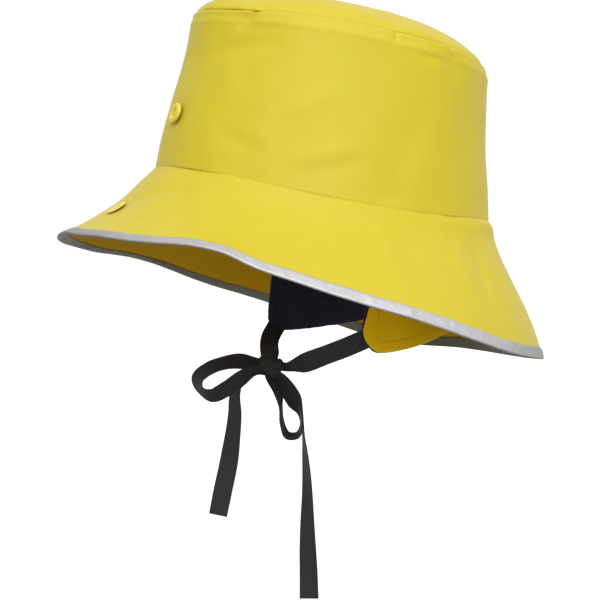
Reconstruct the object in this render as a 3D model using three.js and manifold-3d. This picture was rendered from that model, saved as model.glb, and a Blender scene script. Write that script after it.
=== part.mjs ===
// A child's sou'wester rain hat: a tapered crown with a domed tip, a flared wavy brim bound with
// reflective tape, an ear-and-neck flap with a fleece lining, and two ribbons tied in a bow.
//
// Millimetres, +Z up. The origin is the middle of the head opening at the seam of crown and brim.
// The front of the hat faces -Y and the wearer's left is +X. Angles run round the hat from the
// front (0 degrees) over the wearer's left (90) to the back (180).

import * as THREE from 'three';
import * as BufferGeometryUtils from 'three/addons/utils/BufferGeometryUtils.js';
import Module from 'manifold-3d';

// Driving dimensions

const CLOTH = 1.5;             // coated cloth of crown and brim, with its seam allowances
const GAP = 0.3;               // clearance between pieces that are sewn or riveted together
const TILT_BACK = 8.5;         // degrees that the hat tips back, as it is worn

const SEAM_SIDE = 76;          // half width of the head opening at the crown and brim seam
const SEAM_LENGTH = 90;        // half length of the head opening, front and back alike
const SEAM_DIP = 8;            // how far the seam lies lower at the ears than in front
const RIDGE_HEIGHT = 76;       // height of the ridge round the top of the crown wall
const RIDGE_ARCH = 2.4;        // how far the ridge lies higher at the sides than on average
const RIDGE_FRONT = 2.5;       // how far the ridge lies higher in front, and lower behind

const TAPE_START = 0.91;       // share of the brim's slope where the tape begins, 6 mm from its edge
const TAPE_CLOTH = 1;          // thickness of the tape
const TAPE_EASE = 0.15;        // extra room in the tape's fold, for the brim's bends
const FLAP_CLOTH = 1.2;        // outer cloth of the ear-and-neck flap
const FLEECE = 2;              // thickness of the fleece lining
const FLAP_TUCK = 3;           // how far the flap reaches up inside the crown
const FLAP_STEP = 0.9;         // how much more the flap steps in, for the taper of the crown above the seam
const FLEECE_MARGIN = 1.6;     // how far the lining stops short of the flap's turned edge

const SNAP_RADIUS = 5.4;
const CROWN_SNAP_HEIGHT = 2.4; // the raised half on the crown
const BRIM_SNAP_HEIGHT = 1.5;  // the low half on the brim
const SNAP_WELL_RADIUS = 2.6;
const SNAP_CAP_RADIUS = 5.6;
const SNAP_CAP_HEIGHT = 1.4;
const SNAP_POST_RADIUS = 1.5;
const SNAP_DISH = 0.5;         // how far a snap's faces stand off the curved cloth at their rims

const RIBBON_THICKNESS = 0.9;
const BOW_TURN = 70;           // degrees from the X-Z plane to the upright plane that the bow faces

// Mesh fineness

const CROWN_COLUMNS = 56;
const BRIM_COLUMNS = 64;
const WALL_ROWS = [0, 8, 20, 34, 48, 62, 71, 74.2, 75.8, 78.2, 80.8];
const TIP_ROWS = [1, 0.93, 0.8, 0.6, 0.38, 0.18];
const BRIM_ROWS = [0, 0.07, 0.16, 0.3, 0.46, 0.62, 0.78, TAPE_START, 1];
const FLAP_COLUMNS = 30;
const FLAP_CROWDING = 0.75;    // how much the flap's columns crowd to its rounded corners
const FLAP_ROWS = 7;
const SNAP_SIDES = 14;

// Half sizes of the crown wall from the brim seam to the tip's seam, over the shoulder

const WALL_SECTIONS = [
  { up: 0, side: 76, front: 90, back: 90.6 },
  { up: 16, side: 73.6, front: 89, back: 88 },
  { up: 35, side: 70.6, front: 86.2, back: 84.4 },
  { up: 55, side: 67.4, front: 82.8, back: 82.2 },
  { up: 72, side: 65.2, front: 81.8, back: 80.8 },
  { up: 74.2, side: 65, front: 81.9, back: 80.8 },
  { up: 75.6, side: 64.4, front: 81.9, back: 80.2 },
  { up: 78, side: 63.1, front: 81.7, back: 78.7 },
  { up: 80.8, side: 61.5, front: 81.2, back: 76.6 },
];

// How far the brim stands out from the seam and drops below it, along its slope

const BRIM_SECTIONS = [
  { at: 0, frontOut: 0, frontDown: 0, sideOut: 0, sideDown: 0, backOut: 0.6, backDown: 0 },
  { at: 0.05, frontOut: 2.2, frontDown: 2.7, sideOut: 2, sideDown: 2.8, backOut: 3.8, backDown: 3 },
  { at: 0.13, frontOut: 5.8, frontDown: 7, sideOut: 4.8, sideDown: 7.4, backOut: 5.4, backDown: 9 },
  { at: 0.28, frontOut: 11.8, frontDown: 14.8, sideOut: 11.4, sideDown: 15.6, backOut: 10.6, backDown: 19.4 },
  { at: 0.44, frontOut: 18.8, frontDown: 22, sideOut: 19.6, sideDown: 23.6, backOut: 17.2, backDown: 30.2 },
  { at: 0.6, frontOut: 26.4, frontDown: 28.6, sideOut: 27.6, sideDown: 31.4, backOut: 23.6, backDown: 40.4 },
  { at: 0.8, frontOut: 36, frontDown: 35.8, sideOut: 37.4, sideDown: 41.2, backOut: 30.8, backDown: 53.4 },
  { at: 1, frontOut: 44.2, frontDown: 41, sideOut: 47, sideDown: 51, backOut: 37, backDown: 67.4 },
];

// How far the brim's edge waves above the height of its sections and out beyond them, all round

const EDGE_WAVES = [
  { angle: 0, lift: -0.3, out: 0.1 },
  { angle: 8, lift: -0.8, out: 0 },
  { angle: 15, lift: -0.3, out: 0 },
  { angle: 28, lift: 1.3, out: 0 },
  { angle: 36, lift: 3.5, out: 0 },
  { angle: 44, lift: 6.6, out: 0 },
  { angle: 52, lift: 7.8, out: 0 },
  { angle: 60, lift: 4.8, out: 0 },
  { angle: 68, lift: 3.0, out: 0 },
  { angle: 78, lift: 0.4, out: 0 },
  { angle: 90, lift: -2.6, out: 0 },
  { angle: 102, lift: -5.7, out: 0 },
  { angle: 114, lift: -8.0, out: 0 },
  { angle: 126, lift: -8.3, out: 0 },
  { angle: 138, lift: -5.1, out: 0 },
  { angle: 152, lift: -1.3, out: 0 },
  { angle: 168, lift: -0.2, out: 0 },
  { angle: 186, lift: 0.3, out: 0 },
  { angle: 205, lift: 1.3, out: 0 },
  { angle: 228, lift: 0.4, out: 0.3 },
  { angle: 252, lift: 3.8, out: 2.0 },
  { angle: 275, lift: 11.4, out: 5.2 },
  { angle: 293, lift: 15.2, out: 5.8 },
  { angle: 315, lift: 9.1, out: 3.2 },
  { angle: 332, lift: 3.8, out: 1.1 },
  { angle: 346, lift: -0.1, out: 0.3 },
];

// Soft folds: where they lie round the hat, how wide they spread, and how far they push the cloth.
// On the wall a fold is a hollow that is deepest at its height.

const WALL_FOLDS = [
  { angle: 38, spread: 7, height: 26, tall: 22, hollow: 1.2 },
  { angle: 97, spread: 8, height: 16, tall: 20, hollow: 1.4 },
  { angle: 121, spread: 5, height: 74, tall: 10, hollow: 1.4 },
  { angle: 33, spread: 6, height: 75, tall: 8, hollow: 1.2 },
  { angle: 215, spread: 9, height: 30, tall: 24, hollow: 1.4 },
  { angle: 300, spread: 8, height: 22, tall: 20, hollow: 1.2 },
];

const TIP_DENTS = [
  { angle: 33, reach: 0.86, spread: 0.16, hollow: 1.4 },
  { angle: 96, reach: 0.84, spread: 0.14, hollow: 1.8 },
  { angle: 122, reach: 0.88, spread: 0.14, hollow: 2 },
  { angle: 150, reach: 0.5, spread: 0.22, hollow: 1 },
  { angle: 260, reach: 0.6, spread: 0.3, hollow: 1.2 },
];

// How far the domed tip rises above its own seam, from the middle (0) to the seam (1)

const TIP_SECTIONS = [
  { reach: 0, front: 18.2, side: 18.2, back: 18.2 },
  { reach: 0.2, front: 17.8, side: 17.8, back: 18 },
  { reach: 0.4, front: 16.2, side: 16.6, back: 17.2 },
  { reach: 0.6, front: 14.4, side: 14.6, back: 15.2 },
  { reach: 0.8, front: 11, side: 10.4, back: 10.4 },
  { reach: 0.93, front: 6.4, side: 5.4, back: 5 },
  { reach: 1, front: 0, side: 0, back: 0 },
];

const FOLD_FADE = 5;           // folds fade out over this height next to a seam
const DENT_FADE = 0.06;        // dents fade out over this share of the tip next to its seam

// The flap's lower edge: its height below the seam's plane and how far it leans in to the neck

const FLAP_SECTIONS = [
  { angle: 95, low: -81, lean: 7 },
  { angle: 106, low: -79.5, lean: 5 },
  { angle: 121, low: -72.2, lean: 3 },
  { angle: 134, low: -65, lean: 2 },
  { angle: 155, low: -56, lean: 2 },
  { angle: 180, low: -52, lean: 3 },
  { angle: 205, low: -53, lean: 2 },
  { angle: 228, low: -58, lean: 2 },
  { angle: 239, low: -62.6, lean: 3 },
  { angle: 254, low: -68.5, lean: 5 },
  { angle: 267, low: -72.5, lean: 7 },
];
const FLAP_CORNER = 11;        // radius of the flap's front lower corners

// Snap halves: where they sit on the wall (height) and on the brim (share of its slope)

const CROWN_SNAP = { angle: 6, place: 26.5 };
const BRIM_SNAP = { angle: 5, place: 0.52 };

// Routes of the ribbons, in the upright plane that the bow faces: across to the right of the
// origin, toward the viewer, and up. edgeAcross and edgeUp point from the middle of the ribbon to
// one edge as it is seen; side is 1 where that edge is nearer the viewer, -1 where it is farther.
// half is half the ribbon's width, less where it is gathered into the knot.

const RIBBONS = {
  tie_near: [
    { across: 25, toward: 57.4, up: -74, edgeAcross: 1.6, edgeUp: -4.6, half: 5, side: -1 },
    { across: 19.6, toward: 55.8, up: -76.4, edgeAcross: 1.7, edgeUp: -4.6, half: 5, side: -1 },
    { across: 12.7, toward: 50, up: -79.5, edgeAcross: 1.8, edgeUp: -4.6, half: 5, side: -1 },
    { across: 0.8, toward: 38, up: -84.3, edgeAcross: 1.7, edgeUp: -4.6, half: 5, side: -1 },
    { across: -9.3, toward: 24, up: -88.4, edgeAcross: 1.7, edgeUp: -4.4, half: 4.8, side: -1 },
    { across: -15.6, toward: 16, up: -90.5, edgeAcross: 0.8, edgeUp: -3.2, half: 3.6, side: -1 },
    { across: -19, toward: 11, up: -91, edgeAcross: 0, edgeUp: -2.6, half: 2.8, side: -1 },
  ],
  tie_far: [
    { across: -24.4, toward: -60.6, up: -69.8, edgeAcross: 4.2, edgeUp: -2.6, half: 5, side: 1 },
    { across: -27.4, toward: -45, up: -75.4, edgeAcross: 3.6, edgeUp: -2.4, half: 5, side: 1 },
    { across: -28.2, toward: -29, up: -79.6, edgeAcross: 3.8, edgeUp: -1.4, half: 5, side: 1 },
    { across: -27.8, toward: -14, up: -82.8, edgeAcross: 4.2, edgeUp: -0.6, half: 5, side: 1 },
    { across: -27.4, toward: -4, up: -85.4, edgeAcross: 4.2, edgeUp: 0, half: 4.6, side: 1 },
    { across: -27.2, toward: 1.5, up: -87.2, edgeAcross: 3.4, edgeUp: 0, half: 3.4, side: 1 },
  ],
  bow_loop_left: [
    { across: -34, toward: 10.4, up: -88.6, edgeAcross: 0, edgeUp: -2, half: 2.8, side: 1 },
    { across: -41.6, toward: 14, up: -87.8, edgeAcross: 0.2, edgeUp: -3.3, half: 4.4, side: 1 },
    { across: -50.2, toward: 17, up: -88.6, edgeAcross: 0.4, edgeUp: -3.3, half: 5, side: 1 },
    { across: -58.6, toward: 19, up: -91.4, edgeAcross: 1.8, edgeUp: -2.9, half: 5, side: 1 },
    { across: -64.4, toward: 20, up: -96.4, edgeAcross: 3.1, edgeUp: -1.4, half: 5, side: 1 },
    { across: -63.4, toward: 20.5, up: -102, edgeAcross: 2, edgeUp: 0.6, half: 5, side: 1 },
    { across: -57.4, toward: 20, up: -105, edgeAcross: -0.4, edgeUp: 3.6, half: 5, side: 1 },
    { across: -49.8, toward: 18, up: -101.8, edgeAcross: -2.5, edgeUp: 3.1, half: 5, side: 1 },
    { across: -41.6, toward: 15, up: -96.2, edgeAcross: -1.6, edgeUp: 2.6, half: 4.2, side: 1 },
    { across: -34, toward: 10.4, up: -92.6, edgeAcross: -0.6, edgeUp: 1.4, half: 2.6, side: 1 },
  ],
  bow_loop_right: [
    { across: -26.8, toward: 10.4, up: -96.6, edgeAcross: -1.6, edgeUp: 0, half: 2.2, side: 1 },
    { across: -23.2, toward: 15.5, up: -104, edgeAcross: -1.6, edgeUp: 0.2, half: 4.4, side: 1 },
    { across: -21.8, toward: 17, up: -112, edgeAcross: -0.7, edgeUp: 0, half: 5, side: 1 },
    { across: -21, toward: 17.5, up: -120, edgeAcross: -1, edgeUp: -0.3, half: 5, side: 1 },
    { across: -18, toward: 18, up: -126.4, edgeAcross: -0.8, edgeUp: -1.6, half: 5, side: 1 },
    { across: -13, toward: 18, up: -126.2, edgeAcross: 0.6, edgeUp: -1.4, half: 5, side: 1 },
    { across: -10.6, toward: 17.5, up: -120.6, edgeAcross: 0.6, edgeUp: 0, half: 5, side: 1 },
    { across: -11.4, toward: 17, up: -114, edgeAcross: 1.4, edgeUp: 0.9, half: 5, side: 1 },
    { across: -14.6, toward: 15.5, up: -107.8, edgeAcross: 2.2, edgeUp: 3, half: 5, side: 1 },
    { across: -18.4, toward: 13.5, up: -101.8, edgeAcross: 2.4, edgeUp: 1.9, half: 4.2, side: 1 },
    { across: -22.4, toward: 11, up: -96.8, edgeAcross: 1.2, edgeUp: 0.6, half: 2.2, side: 1 },
  ],
  tail_left: [
    { across: -34, toward: 4.8, up: -92.2, edgeAcross: 0.8, edgeUp: 1.4, half: 2.6, side: 1 },
    { across: -39.6, toward: 3, up: -94, edgeAcross: 1.6, edgeUp: 2.4, half: 4, side: 1 },
    { across: -43.8, toward: 2.5, up: -98.4, edgeAcross: 2.6, edgeUp: 1.8, half: 5, side: 1 },
    { across: -46, toward: 3.5, up: -106, edgeAcross: 2.9, edgeUp: 0.8, half: 5, side: 1 },
    { across: -46, toward: 5, up: -116, edgeAcross: 3.6, edgeUp: 0.3, half: 5, side: 1 },
    { across: -47.2, toward: 6, up: -128, edgeAcross: 4.2, edgeUp: 0.5, half: 5, side: 1 },
    { across: -49, toward: 7, up: -141, edgeAcross: 4.8, edgeUp: 0.8, half: 5, side: 1 },
    { across: -51.8, toward: 8, up: -154.6, edgeAcross: 4.9, edgeUp: 0.8, half: 5, side: 1 },
    { across: -54.6, toward: 9, up: -168.4, edgeAcross: 4.8, edgeUp: 0.4, half: 5, side: 1 },
  ],
  tail_right: [
    { across: -22.6, toward: 5, up: -96.8, edgeAcross: 1.2, edgeUp: 0.4, half: 2.4, side: 1 },
    { across: -16.4, toward: 3.5, up: -104, edgeAcross: 2.2, edgeUp: 2.2, half: 4.4, side: 1 },
    { across: -12.4, toward: 4, up: -111, edgeAcross: 1.8, edgeUp: 1.4, half: 5, side: 1 },
    { across: -10.4, toward: 5.5, up: -119, edgeAcross: 0.7, edgeUp: 0.3, half: 5, side: 1 },
    { across: -9.6, toward: 6.5, up: -127, edgeAcross: 0.5, edgeUp: 0, half: 5, side: 1 },
    { across: -8.8, toward: 7.5, up: -136, edgeAcross: 1.3, edgeUp: 0.2, half: 5, side: 1 },
    { across: -8, toward: 8.5, up: -147, edgeAcross: 2.1, edgeUp: 0.3, half: 5, side: 1 },
    { across: -7.6, toward: 9, up: -159, edgeAcross: 2.8, edgeUp: 0.3, half: 5, side: 1 },
    { across: -7.6, toward: 9, up: -172, edgeAcross: 3.6, edgeUp: 0.2, half: 5, side: 1 },
    { across: -7.4, toward: 9, up: -186, edgeAcross: 4.3, edgeUp: 0.1, half: 5, side: 1 },
    { across: -7, toward: 9, up: -199, edgeAcross: 4.7, edgeUp: 0.1, half: 5, side: 1 },
    { across: -6.8, toward: 9, up: -212, edgeAcross: 4.9, edgeUp: 0, half: 5, side: 1 },
  ],
};
const NEARBY = 0.1;            // share of a route's row over which its direction is measured
const RIBBON_STEP = 6;         // length of one facet along a ribbon

// The knot's middle and size, in the same plane

const KNOT = { across: -26.6, toward: 8, up: -91, wide: 12.6, deep: 11.2, tall: 8.8, bevel: 1.2 };

// Colours and finish

const FINISHES = {
  yellow: { color: 0xdfc535, roughness: 0.36, metalness: 0 },
  tape: { color: 0xc9c9cc, roughness: 0.3, metalness: 0.35 },
  plastic: { color: 0xe0c42e, roughness: 0.3, metalness: 0 },
  fleece: { color: 0x14142a, roughness: 0.95, metalness: 0 },
  ribbon: { color: 0x2e2c2e, roughness: 0.75, metalness: 0 },
};

// Small helpers

const wasm = await Module();
wasm.setup();

const radians = THREE.MathUtils.degToRad;
const UP = new THREE.Vector3(0, 0, 1);

function smoothTable(rows, along) {
  const columns = Object.keys(rows[0]).filter((name) => name !== along);
  const places = rows.map((row) => row[along]);
  const values = rows.flatMap((row) => columns.map((name) => row[name]));
  const curve = new THREE.CubicInterpolant(places, values, columns.length);
  return (place) => {
    const found = curve.evaluate(place);
    return Object.fromEntries(columns.map((name, i) => [name, found[i]]));
  };
}

// A table of angles with its ends repeated, so that it can be read smoothly all round the hat
function allRound(rows) {
  const before = rows.slice(-2).map((row) => ({ ...row, angle: row.angle - 360 }));
  const after = rows.slice(0, 2).map((row) => ({ ...row, angle: row.angle + 360 }));
  return [...before, ...rows, ...after];
}

function bell(offset, spread) {
  return Math.exp(-((offset / spread) ** 2));
}

// The shorter way round from one angle to another, in degrees
function angleBetween(a, b) {
  return THREE.MathUtils.euclideanModulo(a - b + 180, 360) - 180;
}

// How much of a point at this angle lies to the side, from 0 in front and behind to 1 at the ears
function sideShare(angle) {
  return Math.sin(radians(angle)) ** 2;
}

function onOval(angle, side, front, back, up) {
  const turn = radians(angle);
  const length = Math.cos(turn) > 0 ? front : back;
  return new THREE.Vector3(side * Math.sin(turn), -length * Math.cos(turn), up);
}

function anglesRound(count) {
  return Array.from({ length: count }, (_, i) => (360 * i) / count);
}

// Surfaces of the hat, before it is tipped back

const TIP_SEAM_HEIGHT = WALL_SECTIONS.at(-1).up;
const wallAt = smoothTable(WALL_SECTIONS, 'up');
const tipAt = smoothTable(TIP_SECTIONS, 'reach');
const brimAt = smoothTable(BRIM_SECTIONS, 'at');
const flapAt = smoothTable(FLAP_SECTIONS, 'angle');
const waveAt = smoothTable(allRound(EDGE_WAVES), 'angle');

function ridgeLift(angle) {
  return RIDGE_ARCH * sideShare(angle) + RIDGE_FRONT * Math.cos(radians(angle));
}

function wallPoint(angle, up) {
  const { side, front, back } = wallAt(up);
  const share = Math.min(1, up / RIDGE_HEIGHT);
  const lift = ridgeLift(angle) * share - SEAM_DIP * sideShare(angle) * (1 - share);
  let hollow = 0;
  for (const fold of WALL_FOLDS) {
    const near = bell(angleBetween(angle, fold.angle), fold.spread);
    hollow += fold.hollow * near * bell(up - fold.height, fold.tall);
  }
  const inward = hollow * Math.min(1, up / FOLD_FADE, (TIP_SEAM_HEIGHT - up) / FOLD_FADE);
  return onOval(angle, side - inward, front - inward, back - inward, up + lift);
}

function tipPoint(angle, reach) {
  const edge = wallAt(TIP_SEAM_HEIGHT);
  const rise = tipAt(reach);
  const end = Math.cos(radians(angle)) > 0 ? rise.front : rise.back;
  let up = TIP_SEAM_HEIGHT + RIDGE_FRONT * Math.cos(radians(angle)) * reach;
  up += RIDGE_ARCH * sideShare(angle) * reach ** 2 + THREE.MathUtils.lerp(end, rise.side, sideShare(angle));
  const inPlan = (place, around) => new THREE.Vector2(
    place * Math.sin(radians(around)),
    place * Math.cos(radians(around)),
  );
  for (const dent of TIP_DENTS) {
    const away = inPlan(reach, angle).distanceTo(inPlan(dent.reach, dent.angle));
    up -= dent.hollow * bell(away, dent.spread) * Math.min(1, (1 - reach) / DENT_FADE);
  }
  const inset = GAP * reach;
  return onOval(angle, edge.side * reach - inset, edge.front * reach - inset, edge.back * reach - inset, up);
}

function brimPoint(angle, reach) {
  const row = brimAt(reach);
  const front = Math.cos(radians(angle)) > 0;
  const endDown = front ? row.frontDown : row.backDown;
  let up = -SEAM_DIP * sideShare(angle) - GAP;
  up -= THREE.MathUtils.lerp(endDown, row.sideDown, sideShare(angle));
  const wave = waveAt(THREE.MathUtils.euclideanModulo(angle, 360));
  up += wave.lift * reach ** 2;
  const out = wave.out * reach ** 2;
  const side = SEAM_SIDE + row.sideOut + out;
  return onOval(angle, side, SEAM_LENGTH + row.frontOut + out, SEAM_LENGTH + row.backOut + out, up);
}

// The outer face of the flap, from its top inside the crown (0) to its lower edge (1)
function flapPoint(angle, down, low, lean) {
  const top = FLAP_TUCK - SEAM_DIP * sideShare(angle);
  const inside = CLOTH + GAP + FLAP_STEP + lean * down ** 2;
  const up = THREE.MathUtils.lerp(top, low, down);
  return onOval(angle, SEAM_SIDE - inside, SEAM_LENGTH - inside, SEAM_LENGTH - inside, up);
}

// Grids of points, as rows of columns

function normalAt(grid, row, column, closed) {
  const last = grid.length - 1;
  const count = grid[row].length;
  const before = closed ? (column + count - 1) % count : Math.max(0, column - 1);
  const after = closed ? (column + 1) % count : Math.min(count - 1, column + 1);
  const around = grid[row][after].clone().sub(grid[row][before]);
  const along = grid[Math.min(last, row + 1)][column].clone().sub(grid[Math.max(0, row - 1)][column]);
  return around.cross(along).normalize();
}

// The second face of a cloth: the first one moved by its thickness, against its normals. A
// negative thickness moves it along them. lean.first and lean.last may turn the direction at the
// first and last row, so that both cloths at a seam are cut the same way.
function otherFace(grid, thickness, closed, lean = {}) {
  return grid.map((points, row) => points.map((point, column) => {
    const normal = normalAt(grid, row, column, closed);
    if (row === 0 && lean.first) lean.first(normal);
    if (row === grid.length - 1 && lean.last) lean.last(normal);
    return point.clone().addScaledVector(normal.normalize(), -thickness);
  }));
}

const level = (normal) => normal.setZ(0);
const upright = (normal) => normal.copy(UP);

// One closed body from two faces of a cloth with the same rows and columns
function clothBody(outer, inner, closed, pole) {
  const rows = outer.length;
  const columns = outer[0].length;
  const points = [...outer.flat(), ...inner.flat()];
  const faces = [];
  const outerAt = (row, column) => row * columns + (column % columns);
  const innerAt = (row, column) => rows * columns + outerAt(row, column);
  const quad = (a, b, c, d) => faces.push([a, b, c], [a, c, d]);
  const spans = closed ? columns : columns - 1;
  for (let column = 0; column < spans; column += 1) {
    for (let row = 0; row < rows - 1; row += 1) {
      const [below, next] = [row + 1, column + 1];
      quad(outerAt(row, column), outerAt(row, next), outerAt(below, next), outerAt(below, column));
      quad(innerAt(row, column), innerAt(below, column), innerAt(below, next), innerAt(row, next));
    }
    quad(outerAt(0, column), innerAt(0, column), innerAt(0, column + 1), outerAt(0, column + 1));
    if (pole) {
      const top = points.length;
      faces.push([outerAt(rows - 1, column), outerAt(rows - 1, column + 1), top]);
      faces.push([innerAt(rows - 1, column + 1), innerAt(rows - 1, column), top + 1]);
    } else {
      const end = rows - 1;
      quad(outerAt(end, column), outerAt(end, column + 1), innerAt(end, column + 1), innerAt(end, column));
    }
  }
  if (!closed) {
    for (let row = 0; row < rows - 1; row += 1) {
      const end = columns - 1;
      quad(outerAt(row, 0), outerAt(row + 1, 0), innerAt(row + 1, 0), innerAt(row, 0));
      quad(outerAt(row, end), innerAt(row, end), innerAt(row + 1, end), outerAt(row + 1, end));
    }
  }
  if (pole) points.push(...pole);
  return facesOut(points, faces);
}

// A geometry whose faces point out, whichever way round its points were listed
function facesOut(points, faces) {
  let volume = 0;
  for (const [a, b, c] of faces) {
    volume += points[a].dot(points[b].clone().cross(points[c]));
  }
  const ordered = volume > 0 ? faces : faces.map(([a, b, c]) => [a, c, b]);
  const geometry = new THREE.BufferGeometry();
  geometry.setAttribute('position', new THREE.Float32BufferAttribute(points.flatMap((p) => p.toArray()), 3));
  geometry.setIndex(ordered.flat());
  return geometry;
}

// One closed body from closed sections that follow each other, round a ring or with flat ends
function loftBody(sections, ring) {
  const sides = sections[0].length;
  const points = sections.flat();
  const faces = [];
  const at = (section, side) => (section % sections.length) * sides + (side % sides);
  const spans = ring ? sections.length : sections.length - 1;
  for (let section = 0; section < spans; section += 1) {
    for (let side = 0; side < sides; side += 1) {
      faces.push([at(section, side), at(section + 1, side), at(section + 1, side + 1)]);
      faces.push([at(section, side), at(section + 1, side + 1), at(section, side + 1)]);
    }
  }
  if (!ring) {
    const last = sections.length - 1;
    for (let side = 1; side < sides - 1; side += 1) {
      faces.push([at(0, 0), at(0, side), at(0, side + 1)]);
      faces.push([at(last, 0), at(last, side + 1), at(last, side)]);
    }
  }
  return facesOut(points, faces);
}

// Cuts with a library for solids

function toSolid(geometry) {
  const bare = geometry.clone();
  bare.deleteAttribute('normal');
  bare.deleteAttribute('uv');
  const merged = BufferGeometryUtils.mergeVertices(bare, 1e-4);
  return new wasm.Manifold(new wasm.Mesh({
    numProp: 3,
    vertProperties: new Float32Array(merged.attributes.position.array),
    triVerts: new Uint32Array(merged.index.array),
  }));
}

function toGeometry(solid) {
  const mesh = solid.getMesh();
  const geometry = new THREE.BufferGeometry();
  geometry.setAttribute('position', new THREE.BufferAttribute(mesh.vertProperties, mesh.numProp));
  geometry.setIndex(new THREE.BufferAttribute(mesh.triVerts, 1));
  return geometry;
}

// The round hole that a snap's post goes through
function drilled(geometry, seat) {
  const radius = SNAP_POST_RADIUS + GAP;
  const drill = new THREE.CylinderGeometry(radius, radius, 4 * CLOTH, SNAP_SIDES);
  drill.applyQuaternion(seat.turn);
  drill.translate(seat.point.x, seat.point.y, seat.point.z);
  return toGeometry(toSolid(geometry).subtract(toSolid(drill)));
}

// The pieces of the crown and the brim

function crownWall() {
  const angles = anglesRound(CROWN_COLUMNS);
  const outer = WALL_ROWS.map((up) => angles.map((angle) => wallPoint(angle, up)));
  const inner = otherFace(outer, CLOTH, true, { first: level, last: upright });
  return drilled(clothBody(outer, inner, true), seatOn(wallPoint, CROWN_SNAP));
}

function crownTip() {
  const angles = anglesRound(CROWN_COLUMNS);
  const outer = TIP_ROWS.map((reach) => angles.map((angle) => tipPoint(angle, reach)));
  const inner = otherFace(outer, CLOTH, true, { first: upright });
  const top = tipPoint(0, 0);
  return clothBody(outer, inner, true, [top, top.clone().addScaledVector(UP, -CLOTH)]);
}

function brimFaces() {
  const angles = anglesRound(BRIM_COLUMNS);
  const upper = BRIM_ROWS.map((reach) => angles.map((angle) => brimPoint(angle, reach)));
  return { upper, under: otherFace(upper, -CLOTH, true, { first: level }) };
}

function brim() {
  const { upper, under } = brimFaces();
  return drilled(clothBody(upper, under, true), seatOn(brimPoint, BRIM_SNAP));
}

// The tape follows the last band of the brim, round its edge and back on the under side
function edgeTape() {
  const { upper, under } = brimFaces();
  const edge = BRIM_ROWS.length - 1;
  const sections = upper[edge].map((tip, column) => {
    const start = upper[edge - 1][column];
    const thick = tip.clone().sub(under[edge][column]).normalize();
    const out = tip.clone().sub(start).normalize();
    const place = (from, lift, reach) => from.clone()
      .addScaledVector(thick, lift)
      .addScaledVector(out, reach);
    const near = GAP + TAPE_EASE;
    const far = near + TAPE_CLOTH;
    return [
      place(start, far, 0),
      place(tip, far, far),
      place(under[edge][column], -far, far),
      place(under[edge - 1][column], -far, 0),
      place(under[edge - 1][column], -near, 0),
      place(under[edge][column], -near, near),
      place(tip, near, near),
      place(start, near, 0),
    ];
  });
  return loftBody(sections, true);
}

// The pieces of the ear-and-neck flap

function flapColumns(margin) {
  const first = FLAP_SECTIONS[0].angle;
  const last = FLAP_SECTIONS.at(-1).angle;
  const perDegree = (Math.PI / 180) * SEAM_SIDE;
  const start = first + margin / perDegree;
  const span = last - margin / perDegree - start;
  const columns = [];
  for (let i = 0; i <= FLAP_COLUMNS; i += 1) {
    const even = i / FLAP_COLUMNS;
    const crowded = (1 - Math.cos(Math.PI * even)) / 2;
    const share = THREE.MathUtils.lerp(even, crowded, FLAP_CROWDING);
    const angle = start + span * share;
    const fromEnd = Math.min(share, 1 - share) * span * perDegree;
    const radius = FLAP_CORNER - margin;
    const cut = Math.max(0, radius - fromEnd);
    const rise = radius - Math.sqrt(radius ** 2 - cut ** 2);
    const { low, lean } = flapAt(angle);
    columns.push({ angle, low: low + margin + rise, lean });
  }
  return columns;
}

function flapGrid(margin, inside) {
  const columns = flapColumns(margin);
  const rows = Array.from({ length: FLAP_ROWS + 1 }, (_, i) => i / FLAP_ROWS);
  const face = rows.map((down) => columns.map(({ angle, low, lean }) => flapPoint(angle, down, low, lean)));
  return face.map((points) => points.map((point) => {
    const share = 1 - inside / Math.hypot(point.x, point.y);
    return new THREE.Vector3(point.x * share, point.y * share, point.z);
  }));
}

function flapShell() {
  return clothBody(flapGrid(0, 0), flapGrid(0, FLAP_CLOTH), false);
}

function flapLining() {
  const face = FLAP_CLOTH + GAP;
  return clothBody(flapGrid(FLEECE_MARGIN, face), flapGrid(FLEECE_MARGIN, face + FLEECE), false);
}

// Snaps

// Where a snap sits on a surface: the point and the turn from +Y to the surface's outward normal
function seatOn(surface, snap) {
  const point = surface(snap.angle, snap.place);
  const step = snap.place / 50;
  const around = surface(snap.angle + 1, snap.place).sub(surface(snap.angle - 1, snap.place));
  const along = surface(snap.angle, snap.place + step).sub(surface(snap.angle, snap.place - step));
  const normal = around.cross(along).normalize();
  if (normal.y > 0) normal.negate();
  return { point, turn: new THREE.Quaternion().setFromUnitVectors(new THREE.Vector3(0, 1, 0), normal) };
}

function latheOf(outline) {
  const points = outline.map(([radius, height]) => new THREE.Vector2(radius, height));
  const geometry = new THREE.LatheGeometry([...points, points[0]], SNAP_SIDES);
  geometry.deleteAttribute('normal');
  geometry.deleteAttribute('uv');
  return toGeometry(toSolid(geometry));
}

// The half that shows: a ring with a rounded rim round a well
function snapSocket(height) {
  const base = GAP;
  const bore = SNAP_POST_RADIUS + GAP;
  return latheOf([
    [bore, base],
    [SNAP_RADIUS, base + SNAP_DISH],
    [SNAP_RADIUS, base + 0.55 * height],
    [SNAP_RADIUS - 0.9, base + 0.85 * height],
    [SNAP_RADIUS - 1.8, base + height],
    [SNAP_WELL_RADIUS + 0.5, base + 0.92 * height],
    [SNAP_WELL_RADIUS, base + 0.55 * height],
    [bore, base + 0.5 * height],
  ]);
}

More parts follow.
